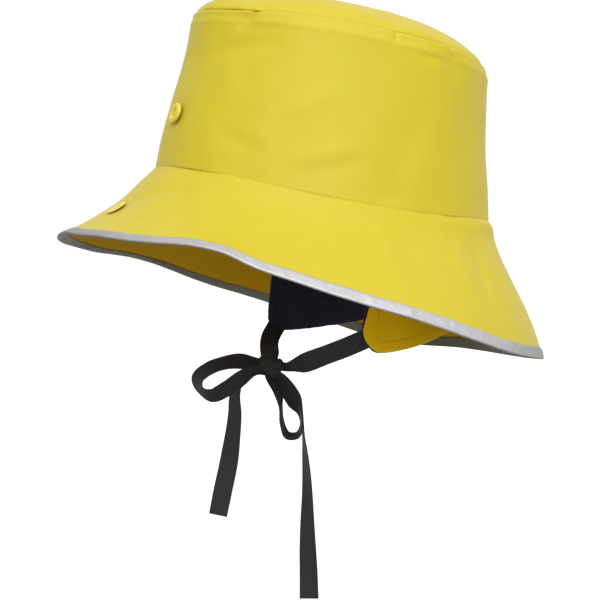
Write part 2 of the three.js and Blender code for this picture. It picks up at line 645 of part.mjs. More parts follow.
// The cap half on the other side of the cloth, with its post through cloth and socket
function snapCap(height) {
  const face = -CLOTH - GAP;
  return latheOf([
    [0, face - SNAP_DISH - SNAP_CAP_HEIGHT],
    [SNAP_CAP_RADIUS - 1.4, face - SNAP_DISH - SNAP_CAP_HEIGHT + 0.2],
    [SNAP_CAP_RADIUS, face - SNAP_DISH - 0.4],
    [SNAP_CAP_RADIUS, face - SNAP_DISH],
    [SNAP_POST_RADIUS, face],
    [SNAP_POST_RADIUS, GAP + 0.6 * height],
    [0, GAP + 0.7 * height],
  ]);
}

// Ribbons

// A flat ribbon along its route: a thin oblong section that turns as the route's edges say
function ribbonBody(rows) {
  const numbered = rows.map((row, step) => ({ step, ...row }));
  const routeAt = smoothTable(numbered, 'step');
  const spot = (row) => new THREE.Vector3(row.across, -row.toward, row.up);
  const route = new THREE.CatmullRomCurve3(rows.map(spot));
  const steps = Math.max(3, Math.round(route.getLength() / RIBBON_STEP));
  const last = rows.length - 1;
  const sections = [];
  for (let i = 0; i <= steps; i += 1) {
    const step = (last * i) / steps;
    const row = routeAt(step);
    const middle = spot(row);
    const ahead = spot(routeAt(Math.min(last, step + NEARBY)));
    const behind = spot(routeAt(Math.max(0, step - NEARBY)));
    const along = ahead.sub(behind).normalize();
    const seen = Math.hypot(row.edgeAcross, row.edgeUp);
    const hidden = Math.sqrt(Math.max(0, row.half ** 2 - seen ** 2));
    const edge = new THREE.Vector3(row.edgeAcross, -row.side * hidden, row.edgeUp);
    edge.addScaledVector(along, -edge.dot(along)).setLength(row.half);
    const thick = along.clone().cross(edge).setLength(RIBBON_THICKNESS / 2);
    sections.push([
      middle.clone().add(edge).add(thick),
      middle.clone().sub(edge).add(thick),
      middle.clone().sub(edge).sub(thick),
      middle.clone().add(edge).sub(thick),
    ]);
  }
  return loftBody(sections, false);
}

// The knot: a rounded block that the ribbons run into
function knotBody() {
  const { wide, deep, tall, bevel } = KNOT;
  const outline = new THREE.Shape();
  const corner = bevel * 1.2;
  const [right, top] = [wide / 2, tall / 2];
  outline.moveTo(right, -top + corner);
  outline.lineTo(right, top - corner);
  outline.lineTo(right - corner, top);
  outline.lineTo(-right + corner, top);
  outline.lineTo(-right, top - corner);
  outline.lineTo(-right, -top + corner);
  outline.lineTo(-right + corner, -top);
  outline.lineTo(right - corner, -top);
  outline.closePath();
  const geometry = new THREE.ExtrudeGeometry(outline, {
    depth: deep - 2 * bevel,
    bevelThickness: bevel,
    bevelSize: bevel / 2,
    bevelOffset: -bevel / 2,
    bevelSegments: 1,
  });
  geometry.translate(0, 0, bevel - deep / 2);
  geometry.rotateX(Math.PI / 2);
  return geometry;
}

// Scene

const finishes = Object.fromEntries(Object.entries(FINISHES).map(([name, finish]) => [
  name,
  () => new THREE.MeshStandardMaterial({ name, ...finish }),
]));

function piece(name, geometry, finish) {
  const mesh = new THREE.Mesh(geometry, finishes[finish]());
  mesh.name = name;
  return mesh;
}

function snapPair(prefix, surface, snap, height) {
  const seat = seatOn(surface, snap);
  const pair = new THREE.Group();
  pair.position.copy(seat.point);
  pair.quaternion.copy(seat.turn);
  pair.add(piece(`${prefix}_snap_socket`, snapSocket(height), 'plastic'));
  pair.add(piece(`${prefix}_snap_cap`, snapCap(height), 'plastic'));
  return pair;
}

const hat = new THREE.Group();

const worn = new THREE.Group();
worn.rotation.x = radians(-TILT_BACK);
worn.add(piece('crown_wall', crownWall(), 'yellow'));
worn.add(piece('crown_tip', crownTip(), 'yellow'));
worn.add(piece('brim', brim(), 'yellow'));
worn.add(piece('edge_tape', edgeTape(), 'tape'));
worn.add(snapPair('crown', wallPoint, CROWN_SNAP, CROWN_SNAP_HEIGHT));
worn.add(snapPair('brim', brimPoint, BRIM_SNAP, BRIM_SNAP_HEIGHT));
worn.add(piece('ear_neck_flap', flapShell(), 'yellow'));
worn.add(piece('flap_lining', flapLining(), 'fleece'));
hat.add(worn);

const bow = new THREE.Group();
bow.rotation.z = radians(BOW_TURN);
for (const [name, rows] of Object.entries(RIBBONS)) {
  bow.add(piece(name, ribbonBody(rows), 'ribbon'));
}
const knot = piece('bow_knot', knotBody(), 'ribbon');
knot.position.set(KNOT.across, -KNOT.toward, KNOT.up);
bow.add(knot);
hat.add(bow);

export default hat;
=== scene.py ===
"""A child's sou'wester rain hat of coated cloth, with a reflective edge, a fleece-lined flap, two
snap halves and two ribbons tied in a bow.

The tables are in millimetres, in the hat's own frame: +Z up, front -Y, wearer's left +X, origin in
the middle of the head opening at the seam of crown and brim. Angles run in degrees from the front
(0) over the wearer's left (90) to the back (180). Meshes are made in metres.
"""

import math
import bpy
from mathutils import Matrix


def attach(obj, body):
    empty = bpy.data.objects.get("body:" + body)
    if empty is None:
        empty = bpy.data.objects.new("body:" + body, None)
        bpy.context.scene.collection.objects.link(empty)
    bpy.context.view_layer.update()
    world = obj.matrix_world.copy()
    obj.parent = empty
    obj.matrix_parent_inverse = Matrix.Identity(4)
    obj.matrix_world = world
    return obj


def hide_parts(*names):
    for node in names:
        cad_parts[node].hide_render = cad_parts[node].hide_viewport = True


bl_info = {
    "name": "Sou'wester Rain Hat",
    "version": (1, 0, 0),
    "blender": (4, 5, 0),
    "location": "3D View > Sidebar > Rain Hat",
    "description": "Builds a coated rain hat with a lined flap, snaps and tied ribbons",
    "category": "Add Mesh",
}

import bmesh
import bpy
import numpy as np
from mathutils import Vector

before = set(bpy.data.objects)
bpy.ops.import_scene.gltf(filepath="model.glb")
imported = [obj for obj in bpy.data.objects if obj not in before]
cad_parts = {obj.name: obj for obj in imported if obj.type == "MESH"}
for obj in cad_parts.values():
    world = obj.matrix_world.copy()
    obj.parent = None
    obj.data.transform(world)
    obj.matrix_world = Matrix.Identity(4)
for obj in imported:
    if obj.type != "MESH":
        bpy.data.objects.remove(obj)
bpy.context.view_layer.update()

MM = 0.001


def table(columns, *rows):
    """Rows of numbers as dictionaries, from the names of the columns and the values of each row."""
    return [dict(zip(columns.split(), row)) for row in rows]


# Sizes of the hat, in millimetres

GAP = 0.3  # left between pieces that are sewn together
CLOTH = 1.5  # thickness of the coated cloth with its backing and seam folds
TILT_BACK = 8.5  # degrees that the hat is tipped back on the head
SEAM_SIDE = 76.0  # half the head opening from ear to ear
SEAM_LENGTH = 90.0  # half the head opening from front to back
SEAM_DIP = 8.0  # how far its seam dips at the ears
RIDGE_HEIGHT = 76.0  # of the ridge over which the wall turns in to the tip
RIDGE_ARCH = 2.4  # how far the ridge rises at the sides
RIDGE_FRONT = 2.5  # how far it rises in front and falls behind
TIP_RADIUS = 70.0  # mean distance from the middle of the tip to its seam
FOLD_FADE = 5.0  # distance from a seam in which the wall's folds fade out
DENT_FADE = 0.06  # share of the tip next to its seam in which its dents fade out

# How the cloth is uneven

LONG_WAVE = 52.0  # length of its long waves
SHORT_WAVE = 19.0  # and of the short ones on them
UPRIGHT_WAVES = 0.4  # how fast the cloth's unevenness changes upward, beside round the hat
PUCKER_COUNTS = (47, 61, 83)  # gathers round a seam, in three lengths that overlap
PUCKER_FADE = 4.5  # distance from the seam in which they fade out
WALL_FOOT_PUCKER = 0.04  # depth of the gathers at each seam
WALL_TOP_PUCKER = 0.05
TIP_PUCKER = 0.06
BRIM_PUCKER = 0.03
BRIM_SLOPE = 60.0  # length of the brim along its slope in front

# The low roll of cloth beside a seam and the groove at the seam itself

WALL_SEAM = dict(roll=0.35, roll_at=1.7, roll_wide=1.1, groove=0.5, groove_wide=0.8)
TIP_SEAM = dict(roll=0.4, roll_at=2.6, roll_wide=2.2, groove=0.35, groove_wide=0.9)

# The edge tape

BRIM_EDGE_CLOTH = 0.9  # the brim's cloth thins to this at its edge, where it is a single layer
TAPE_WIDTH = 5.2  # what shows of the tape on the brim's upper side, in front and behind
TAPE_SIDE_WIDER = 1.5  # and how much more shows at the sides
TAPE_WANDER = 0.0018  # how far its stitched edge wanders, as a share of the brim's slope
TAPE_INNER_LIFT = 0.12  # its inner face above the brim
TAPE_EDGE_LIFT = 0.3  # its outer face above the brim, at its stitched edge
TAPE_FOLD_LIFT = 0.35  # and where it turns round the brim's edge
TAPE_LEAST_LIFT = 0.2  # and at least, where it is crumpled
TAPE_BEND_START = 0.35  # angle at which the turn round the brim's edge begins, in radians
TAPE_LOOSE = 0.14  # how far the tape is uneven even where it is crumpled least
TAPE_SOFT_WAVE = 13.0  # length of its soft waves
TAPE_FINE_WAVE = 5.5  # and of the fine ones on them
TAPE_DRIFT = 0.08  # how strong the small regular waves all round it are
TAPE_BELOW = 0.8  # how far it is crumpled under the brim, beside above it
TAPE_UNDER_PAINTED_SHADE = 0.85  # how far it is painted in shade where it is turned under the brim, from 0 to 1
# brownish grey of the tape in shade: painted shade, with a painted reflection of the yellow cloth
PAINTED_SHADE_TAPE = "#5C5748"
TAPE_THREAD = dict(name="tape_thread", colour="#A6A6AC", radius=0.17, pitch=1, length=1)

# The flap and its fleece

FLAP_CLOTH = 1.2
FLAP_TUCK = 3.0  # how far the flap reaches up behind the seam
FLAP_STEP = 0.9  # how far inside the crown's cloth it starts
NEAR_CORNER = 11.0  # size of the rounded front corner at the wearer's left
NEAR_CORNER_POWER = 1.5  # 2 is a round corner, less is a more angular one
FAR_CORNER = 6.2
FAR_CORNER_POWER = 1.15
FLAP_CROWDING = 0.75  # how much closer its columns of points lie at its front edges
FLAP_SLANT = 3.2  # how far the near front edge runs back at its top, in degrees
FLAP_SLANT_REACH = 12.0  # how far behind the edge that fades out, in degrees
FLAP_WAVE = 30.0  # length of its unevenness
FLEECE = 2.0  # thickness of the fleece with its pile
FLEECE_MARGIN = -0.3  # the pile stands a little past the edge of the knit
FLEECE_GAP = 0.1  # between the knit and the fleece's back
FLEECE_EDGE = 9.0  # the pile thins over the last ninth of the way down
FLEECE_LONG_WAVE = 5.0
FLEECE_SHORT_WAVE = 2.4
STITCH_MARGIN = 5.2  # from the flap's edge to its stitches
FLAP_THREAD = dict(name="flap_thread", colour="#A07C0C", radius=0.16, pitch=0.85, length=0.8)

# Half sizes of the crown wall from the brim seam to the tip's seam, over the shoulder

WALL_SECTIONS = table(
    "up side front back",
    (0, 76, 90, 90.6),
    (16, 73.6, 89, 88),
    (35, 70.6, 86.2, 84.4),
    (55, 67.4, 82.8, 82.2),
    (72, 65.2, 81.8, 80.8),
    (74.2, 65, 81.9, 80.8),
    (75.6, 64.4, 81.6, 80.2),
    (78, 63.1, 81.1, 79.3),
    (80.8, 61.5, 80.5, 77.4),
)

# How far the domed tip rises above its own seam, from the middle (0) to the seam (1)

TIP_SECTIONS = table(
    "reach front side back",
    (0, 18.2, 18.2, 18.2),
    (0.2, 17.8, 17.8, 18),
    (0.4, 16.2, 16.6, 17.2),
    (0.6, 14.4, 14.6, 15.2),
    (0.8, 11, 10.2, 9.7),
    (0.93, 6, 5.2, 4.4),
    (1, 0, 0, 0),
)

# How far the brim stands out from the seam and drops below it, along its slope

BRIM_SECTIONS = table(
    "at front_out front_down side_out side_down back_out back_down",
    (0, 0, 0, 0, 0, 0.6, 0),
    (0.05, 2.2, 2.7, 2, 2.8, 3.8, 3),
    (0.13, 5.8, 7, 4.8, 7.4, 5.4, 9),
    (0.28, 11.8, 14.8, 11.4, 15.6, 10.6, 19.4),
    (0.44, 18.8, 22, 19.6, 23.6, 17.2, 30.2),
    (0.6, 26.4, 28.6, 27.6, 31.4, 23.6, 40.4),
    (0.8, 36, 35.8, 37.4, 41.2, 30.8, 53.4),
    (1, 44.2, 41, 47, 51, 37, 67.4),
)

# Folds of the wall and dents of the tip: where they are, how wide, and how deep

WALL_FOLDS = table(
    "angle spread height tall hollow",
    (38, 7, 26, 22, 1.2),
    (97, 8, 16, 20, 1.4),
    (121, 5, 74, 10, 1.4),
    (33, 6, 75, 8, 1.2),
    (215, 9, 30, 24, 1.4),
    (300, 8, 22, 20, 1.2),
)

TIP_DENTS = table(
    "angle reach spread hollow",
    (33, 0.86, 0.16, 1.4),
    (96, 0.84, 0.14, 1.8),
    (122, 0.88, 0.14, 2),
    (150, 0.5, 0.22, 1),
    (260, 0.6, 0.3, 1.2),
)

# How far the brim's edge lies higher and farther out than its sections say, round the hat

EDGE_WAVES = table(
    "angle lift out",
    (0, 0.2, 0.1),
    (8, -0.8, 0),
    (15, -0.3, 0),
    (28, 1.3, 0),
    (36, 3.5, 0),
    (44, 6.6, 0),
    (52, 7.8, 0),
    (60, 4.8, 0),
    (68, 3.0, 0),
    (78, 0.4, 0),
    (90, -2.6, 0),
    (102, -5.7, 0),
    (114, -8.0, 0),
    (126, -8.7, 0),
    (138, -7.3, 0),
    (152, -4, 0),
    (168, -1.4, 0),
    (186, 0.3, 0),
    (205, 0.8, 0),
    (228, -2.8, 0.3),
    (252, 3.8, 2.0),
    (275, 10.6, 5.2),
    (293, 14.8, 5.8),
    (315, 7.8, 3.2),
    (332, 2.4, 1.1),
    (346, 0, 0.3),
)

# Where round the hat the tape is crumpled more, and how far it is painted darker there as shade

TAPE_CRUMPLES = table(
    "angle spread more dull",
    (0, 34, 0.08, 0.58),
    (36, 16, 0.16, 0.1),
    (118, 10, 0.3, 0),
    (150, 24, 0.06, 0.55),
    (215, 20, 0.12, 0.2),
    (300, 22, 0.14, 0.2),
)

# Creases that the cloth keeps: a line from one place on the surface to another, its depth, its
# width, and its power, 1 for a crisp line and 2 for a soft valley. A negative depth is a ridge.
# A crease of at least the soft power fades out at both of its ends. A place is a height on the
# wall, and a share of the way out on the tip and the brim.

SOFT_POWER = 1.5

WALL_CREASES = table(
    "angle place to_angle to_place depth width power",
    (42, 86, 31, 70, 1.3, 2.4, 1.6),
    (34, 70.5, 56, 73.4, 0.9, 3.6, 2.0),
    (18, 57, 52, 67, 1.7, 5, 2.0),
    (25, 64, 40, 26, -0.8, 8, 2.0),
    (53, 38, 65, 68, -0.6, 6, 2.0),
    (56, 31, 74, 49, -0.6, 5.5, 2.0),
    (60, 11, 86, 25, -0.6, 5, 2.0),
    (62, 5, 88, 19, 0.5, 5, 2.0),
    (30, 21, 54, 12, 0.5, 5, 2.0),
    (32, 27, 56, 17, -0.4, 6, 2.0),
    (44, 2, 47, 34, 0.4, 5, 2.0),
    (100, 14, 108, 52, 0.5, 7, 2.0),
    (94, 80.8, 93.5, 75.4, 0.9, 1.5, 1.3),
    (98, 77, 100.5, 72.6, 0.6, 1.6, 1.3),
    (101, 70.8, 123, 74, 1.0, 3, 2.0),
    (120, 80.8, 125.5, 71, 0.9, 1.2, 1.0),
    (122.5, 80.8, 128, 72, -0.5, 2.2, 2.0),
    (123, 60, 137, 28, 0.7, 7, 2.0),
)

TIP_CREASES = table(
    "angle place to_angle to_place depth width power",
    (39.5, 1, 41, 0.9, 0.8, 2.6, 1.5),
    (93.8, 1, 93, 0.95, 0.7, 1.6, 1.3),
    (120, 1, 117, 0.86, 0.9, 1.3, 1.0),
    (123, 1, 120, 0.86, -0.4, 2.4, 2.0),
    (60, 0.7, 100, 0.62, 0.5, 8, 2.0),
)

BRIM_CREASES = table(
    "angle place to_angle to_place depth width power",
    (7, 0.44, 26.5, 0.19, 0.8, 2.8, 1.4),
    (38.5, 0.28, 44.5, 0.05, 0.6, 3.5, 1.6),
    (20, 0.75, 30, 0.5, 0.4, 4, 2.0),
    (89, 0.08, 94.5, 0.61, -0.5, 4, 2.0),
    (131, 0.12, 122.5, 0.81, 0.9, 5, 2.0),
    (119.5, 0.2, 115, 0.7, -0.5, 5, 2.0),
)

# The flap's lower edge: its height below the seam's plane and how far it leans in to the neck

FLAP_SECTIONS = table(
    "angle low lean",
    (95, -81, 7),
    (106, -79.5, 5),
    (121, -72.2, 3),
    (134, -65, 2),
    (155, -56, 2),
    (180, -52, 3),
    (205, -53, 2),
    (228, -58, 2),
    (239, -62.6, 3),
    (254, -68.5, 5),
    (267.5, -72.5, 7),
)

# Snap halves: the angle, the height on the wall or share of the brim's slope, and the ring's
# height. Rounded outlines go from the outside in: how far inside the radius, and what share of the
# ring's height.

CROWN_SNAP = dict(angle=6, place=26.5, height=2.4)
BRIM_SNAP = dict(angle=5, place=0.52, height=0.6)
SNAP_RADIUS = 5.4
SNAP_WELL_RADIUS = 2.6
SNAP_CAP_RADIUS = 5.6
SNAP_CAP_HEIGHT = 1.4
SNAP_POST_RADIUS = 1.5
SNAP_DISH = 0.5  # how much farther off the cloth a snap half stands at its rim than at its middle
SNAP_RING = table("inset height", (0, 0.5), (0.15, 0.68), (0.5, 0.84), (1.0, 0.95), (1.6, 1), (2.1, 0.97))
SNAP_WELL = table("inset height", (-0.2, 0.88), (0, 0.8), (0.3, 0.66))
SNAP_WELL_FLOOR = 0.62  # height of the well's floor, as a share of the ring's height
SNAP_POST_TOP = 0.72  # and that of the post in it

# Routes of the two ribbons in the upright plane that the bow faces: across to the right of the
# origin, toward the viewer, and up. edge_across and edge_up point from the ribbon's middle to one
# edge as it is seen; side is 1 where that edge is nearer the viewer and -1 where it is farther.
# half is half the width, less where the ribbon is gathered into the knot.

BOW_TURN = 70.0  # degrees that the plane is turned from the hat's front

NEAR_RIBBON = table(
    "across toward up edge_across edge_up half side",
    (25, 57.4, -74, 1.6, -4.6, 5, -1),
    (19.6, 55.8, -76.4, 1.7, -4.6, 5, -1),
    (12.7, 50, -79.5, 1.8, -4.6, 5, -1),
    (0.8, 38, -84.3, 1.7, -4.6, 5, -1),
    (-9.3, 24, -88.4, 0.9, -4.9, 5, -1),
    (-15.6, 16, -90.5, 0.8, -2.9, 3.3, -1),
    (-19, 11, -91, 0, -1.7, 2.3, -1),
    (-26.6, 9.6, -89.6, 0, -2.2, 2.4, 1),
    (-34, 10.4, -88.6, 0, -2.9, 3.5, 1),
    (-41.6, 14, -87.8, 0.2, -3.9, 4.8, 1),
    (-50.2, 17, -88.6, 0.4, -3.3, 5, 1),
    (-58.6, 19, -91.4, 1.8, -2.9, 5, 1),
    (-64.4, 20, -96.4, 3.1, -1.4, 5, 1),
    (-63.4, 20.5, -102, 2, 0.6, 5, 1),
    (-57.4, 20, -105, -0.4, 3.6, 5, 1),
    (-49.8, 18, -101.8, -2.5, 3.1, 5, 1),
    (-41.6, 15, -96.2, -1.6, 3.6, 4.6, 1),
    (-34, 10.4, -92.6, -0.8, 2.3, 3.1, 1),
    (-28, 7.4, -93.8, 0.4, 1.4, 2.2, 1),
    (-22.6, 5, -96.8, 1.2, 0.4, 2.4, 1),
    (-16.4, 3.5, -104, 2.2, 2.2, 4.4, 1),
    (-12.4, 4, -111, 1.8, 1.4, 5, 1),
    (-10.4, 5.5, -119, 0.7, 0.3, 5, 1),
    (-9.6, 6.5, -127, 0.5, 0, 5, 1),
    (-8.8, 7.5, -136, 1.3, 0.2, 5, 1),
    (-8, 8.5, -147, 2.1, 0.3, 5, 1),
    (-7.6, 9, -159, 2.8, 0.3, 5, 1),
    (-7.6, 9, -172, 3.6, 0.2, 5, 1),
    (-7.4, 9, -186, 4.3, 0.1, 5, 1),
    (-7, 9, -199, 4.7, 0.1, 5, 1),
    (-6.8, 9, -212, 4.9, 0, 5, 1),
)

FAR_RIBBON = table(
    "across toward up edge_across edge_up half side",
    (-24.4, -60.6, -69.8, 4.2, -2.6, 5, 1),
    (-27.4, -45, -75.4, 3.6, -2.4, 5, 1),
    (-28.2, -29, -79.6, 3.8, -1.4, 5, 1),
    (-27.8, -14, -82.8, 4.2, -0.6, 5, 1),
    (-27.4, -4, -85.4, 4.2, 0, 4.6, 1),
    (-27.2, 1.5, -87.2, 3.4, 0, 3.4, 1),
    (-27, 7.4, -91.6, 2.2, 0, 2.4, 1),
    (-26.8, 10.4, -96.6, 2.2, 0, 3.2, -1),
    (-23.2, 15.5, -104, 2.3, -0.2, 4.6, -1),
    (-21.8, 17, -112, 0.7, 0, 5, -1),
    (-21, 17.5, -120, 1, 0.3, 5, -1),
    (-18, 18, -126.4, 0.8, 1.6, 5, -1),
    (-13, 18, -126.2, -0.6, 1.4, 5, -1),
    (-10.6, 17.5, -120.6, -0.6, 0, 5, -1),
    (-11.4, 17, -114, -1.4, -0.9, 5, -1),
    (-14.6, 15.5, -107.8, -3.6, -2.2, 5, -1),
    (-18.4, 13.5, -101.8, -3.6, -1.6, 4.8, -1),
    (-22.4, 11, -96.8, -2.6, -0.8, 3.4, -1),
    (-28, 8, -93.6, -0.8, -1.4, 2.2, -1),
    (-34, 4.8, -92.2, 0.8, 1.4, 2.6, 1),
    (-39.6, 3, -94, 1.6, 2.4, 4, 1),
    (-43.8, 2.5, -98.4, 2.6, 1.8, 5, 1),
    (-46, 3.5, -106, 2.9, 0.8, 5, 1),
    (-46, 5, -116, 3.6, 0.3, 5, 1),
    (-47.2, 6, -128, 4.2, 0.5, 5, 1),
    (-49, 7, -141, 4.8, 0.8, 5, 1),
    (-51.8, 8, -154.6, 4.9, 0.8, 5, 1),
    (-54.6, 9, -168.4, 4.8, 0.4, 5, 1),
)

# The ribbons' cross-section, the middle, size and slant of the knot, and the fold that hangs
# out below it between three corners

FULL_HALF = 5.0  # half the width of a free ribbon
MOST_GATHERED = 3.0  # how much narrower than that a gathered ribbon gets
RIBBON_PLEAT = 0.42  # depth of its pleats for each millimetre that it is gathered
RIBBON_CURL = 0.22  # how far its edges curl where it is free
RIBBON_EDGE = 0.45  # thickness at its very edge, as a share
RIBBON_SELVAGE = 1.15  # and at the woven border beside it
RIBBON_SPREAD = (-1, -0.94, -0.86, -0.7, -0.45, -0.15, 0.15, 0.45, 0.7, 0.86, 0.94, 1)
KNOT = dict(across=-26.5, toward=8, up=-88.9, wide=13.4, deep=11.2, tall=6.9, slant=-17)
KNOT_PLEAT = 0.32  # depth of the pleats in the knot's turn
KNOT_FOLD = dict(left=(-33.4, -88.6), right=(-19.9, -90.6), tip=(-25.9, -97.7), toward=12.2, thick=0.9)

# Mesh fineness

RING_COLUMNS = 540
WALL_ROWS = 60
SHOULDER_ROWS = 18
TIP_RINGS = 44
BRIM_ROWS = 52
TAPE_COLUMNS = 1080
TAPE_ROWS = 7
FLAP_COLUMNS = 260
FLAP_ROWS = 56
FLEECE_ROWS = 90
RIBBON_STEP = 0.8
KNOT_ROWS = 25
KNOT_COLUMNS = 64
FOLD_ROWS = 10
FOLD_COLUMNS = 12
STITCH_SIDES = 6
SNAP_SIDES = 48

# A stitch from end to end: the share of its length, its width and its lift in thread radii

STITCH_PROFILE = ((-0.5, 0.25, -0.5), (-0.36, 0.9, 0), (0, 1, 0.1), (0.36, 0.9, 0), (0.5, 0.25, -0.5))

# Camera and stage, in metres

CAMERA_TARGET = (-0.00397, -0.01090, -0.0558)
CAMERA_WAY = (0.940, -0.342, 0.0)
CAMERA_DISTANCE = 1.5
SENSOR_WIDTH = 36.0
VIEW_WIDTH = 0.3158  # width of the picture at the hat's middle
FLOOR_HEIGHT = -0.30
FLOOR_RADIUS = 60.0
FLOOR_PAINTED_SHADE = 0.34  # lightness of the floor under the hat: painted shadow there
FLOOR_WHITE = 0.78
FLOOR_SHADE_REACH = 1.15  # distance from the hat at which the floor's painted shadow has turned white
FLOOR_SIDES = 96
KEY_WAY = (0.74, -0.12, 0.76)  # from the hat to the middle of the broad overhead light
KEY_SPREAD = 70.0  # degrees that the light spans, as a large softbox does
KEY_STRENGTH = 3.12
SKY_STRENGTH = 1.04  # brightness of the white surroundings behind, above and before the hat
SIDE_STRENGTH = 0.62  # and to its left and right, where a studio is left darker
SIDE_START = 0.03  # how far to the side that begins, as the square of its share


def linear(hex_colour):
    """A display colour such as '#FFCC00' as the linear values that shaders use."""
    values = [int(hex_colour[i : i + 2], 16) / 255 for i in (1, 3, 5)]
    return [v / 12.92 if v <= 0.04045 else ((v + 0.055) / 1.055) ** 2.4 for v in values]


# Smooth tables and shapes


def smooth_table(rows, along):
    """A function that reads each column of a table smoothly between its rows."""
    places = np.array([row[along] for row in rows], float)
    columns = {name: np.array([row[name] for row in rows], float) for name in rows[0] if name != along}
    last = len(places) - 1

    def read(place):
        place = np.clip(np.asarray(place, float), places[0], places[-1])
        low = np.clip(np.searchsorted(places, place, side="right") - 1, 0, last - 1)
        high = low + 1
        span = places[high] - places[low]
        before = np.where(low > 0, low - 1, high)
        after = np.where(high < last, high + 1, low)
        pull_back = span / 2 / (places[low] - places[before])
        pull_on = span / 2 / (places[after] - places[high])
        share = (place - places[low]) / span
        square = share**2
        cube = share**3
        weights = (
            pull_back * (2 * square - cube - share),
            (1 + pull_back) * cube - (1.5 + 2 * pull_back) * square + (pull_back - 0.5) * share + 1,
            (1.5 + pull_on) * square - (1 + pull_on) * cube + 0.5 * share,
            pull_on * (cube - square),
        )
        spots = (before, low, high, after)
        return {
            name: sum(weight * values[spot] for weight, spot in zip(weights, spots))
            for name, values in columns.items()
        }

    return read


def all_round(rows):
    """A table of angles with its ends repeated, so that it can be read smoothly all round."""
    before = [dict(row, angle=row["angle"] - 360) for row in rows[-2:]]
    after = [dict(row, angle=row["angle"] + 360) for row in rows[:2]]
    return before + rows + after


wall_at = smooth_table(WALL_SECTIONS, "up")
tip_at = smooth_table(TIP_SECTIONS, "reach")
brim_at = smooth_table(BRIM_SECTIONS, "at")
flap_at = smooth_table(FLAP_SECTIONS, "angle")
wave_at = smooth_table(all_round(EDGE_WAVES), "angle")
TIP_SEAM_HEIGHT = WALL_SECTIONS[-1]["up"]


def bell(offset, spread):
    """A smooth hump: 1 in its middle, and nearly nothing at twice its spread."""
    return np.exp(-((offset / spread) ** 2))


def angle_between(a, b):
    """The shorter way round from one angle to another, in degrees."""
    return np.mod(a - b + 180, 360) - 180


def side_share(angle):
    """How much a point lies to the side, from 0 in front and behind to 1 at the ears."""
    return np.sin(np.radians(angle)) ** 2


def mix(a, b, share):
    """The value at a share of the way from one value to another."""
    return a + (b - a) * share


def on_oval(angle, side, front, back, up):
    """The point at an angle on an oval with these half sizes, at a height."""
    turn = np.radians(angle)
    length = np.where(np.cos(turn) > 0, front, back)
    return np.stack(np.broadcast_arrays(side * np.sin(turn), -length * np.cos(turn), up), axis=-1)


def wall_point(angle, up):
    """A point of the crown wall's outer face, at an angle and a height."""
    row = wall_at(up)
    share = np.minimum(1, up / RIDGE_HEIGHT)
    ridge = RIDGE_ARCH * side_share(angle) + RIDGE_FRONT * np.cos(np.radians(angle))
    lift = ridge * share - SEAM_DIP * side_share(angle) * (1 - share)
    hollow = 0
    for fold in WALL_FOLDS:
        near = bell(angle_between(angle, fold["angle"]), fold["spread"])
        hollow = hollow + fold["hollow"] * near * bell(up - fold["height"], fold["tall"])
    fade = np.minimum(1, np.minimum(up, TIP_SEAM_HEIGHT - up) / FOLD_FADE)
    inward = hollow * fade
    return on_oval(angle, row["side"] - inward, row["front"] - inward, row["back"] - inward, up + lift)


def tip_point(angle, reach):
    """A point of the tip's outer face, at an angle and a share of the way out to its seam."""
    edge = wall_at(TIP_SEAM_HEIGHT)
    rise = tip_at(reach)
    turn = np.radians(angle)
    end = np.where(np.cos(turn) > 0, rise["front"], rise["back"])
    up = TIP_SEAM_HEIGHT + RIDGE_FRONT * np.cos(turn) * reach
    up = up + RIDGE_ARCH * side_share(angle) * reach**2 + mix(end, rise["side"], side_share(angle))
    for dent in TIP_DENTS:
        around = math.radians(dent["angle"])
        across = reach * np.sin(turn) - dent["reach"] * math.sin(around)
        ahead = reach * np.cos(turn) - dent["reach"] * math.cos(around)
        away = np.hypot(across, ahead)
        up = up - dent["hollow"] * bell(away, dent["spread"]) * np.minimum(1, (1 - reach) / DENT_FADE)
    inset = GAP * reach
    sizes = [edge[name] * reach - inset for name in ("side", "front", "back")]
    return on_oval(angle, *sizes, up)


def brim_point(angle, reach):
    """A point of the brim's upper face, at an angle and a share of its slope."""
    row = brim_at(reach)
    front = np.cos(np.radians(angle)) > 0
    end_down = np.where(front, row["front_down"], row["back_down"])
    up = -SEAM_DIP * side_share(angle) - GAP - mix(end_down, row["side_down"], side_share(angle))
    wave = wave_at(np.mod(angle, 360))
    up = up + wave["lift"] * reach**2
    out = wave["out"] * reach**2
    sizes = [
        SEAM_SIDE + row["side_out"] + out,
        SEAM_LENGTH + row["front_out"] + out,
        SEAM_LENGTH + row["back_out"] + out,
    ]
    return on_oval(angle, *sizes, up)


def flap_point(angle, down, low, lean, inside):
    """A point of the flap, at an angle and a share of the way down, inside its outer face."""
    top = FLAP_TUCK - SEAM_DIP * side_share(angle)
    step = CLOTH + GAP + FLAP_STEP + lean * down**2
    face = on_oval(angle, SEAM_SIDE - step, SEAM_LENGTH - step, SEAM_LENGTH - step, mix(top, low, down))
    share = 1 - inside / np.hypot(face[..., 0], face[..., 1])
    face[..., 0] *= share
    face[..., 1] *= share
    return face


def ripple(points, length, seed, waves=16):
    """Soft unevenness over points: many faint waves of about this length, the same every time."""
    draw = np.random.RandomState(seed)
    total = np.zeros(points.shape[:-1])
    for _ in range(waves):
        way = draw.normal(size=3)
        way *= 2 * math.pi / (length * draw.uniform(0.7, 1.5) * np.linalg.norm(way))
        total += np.cos(points @ way + draw.uniform(0, 2 * math.pi))
    return total / math.sqrt(waves / 2)


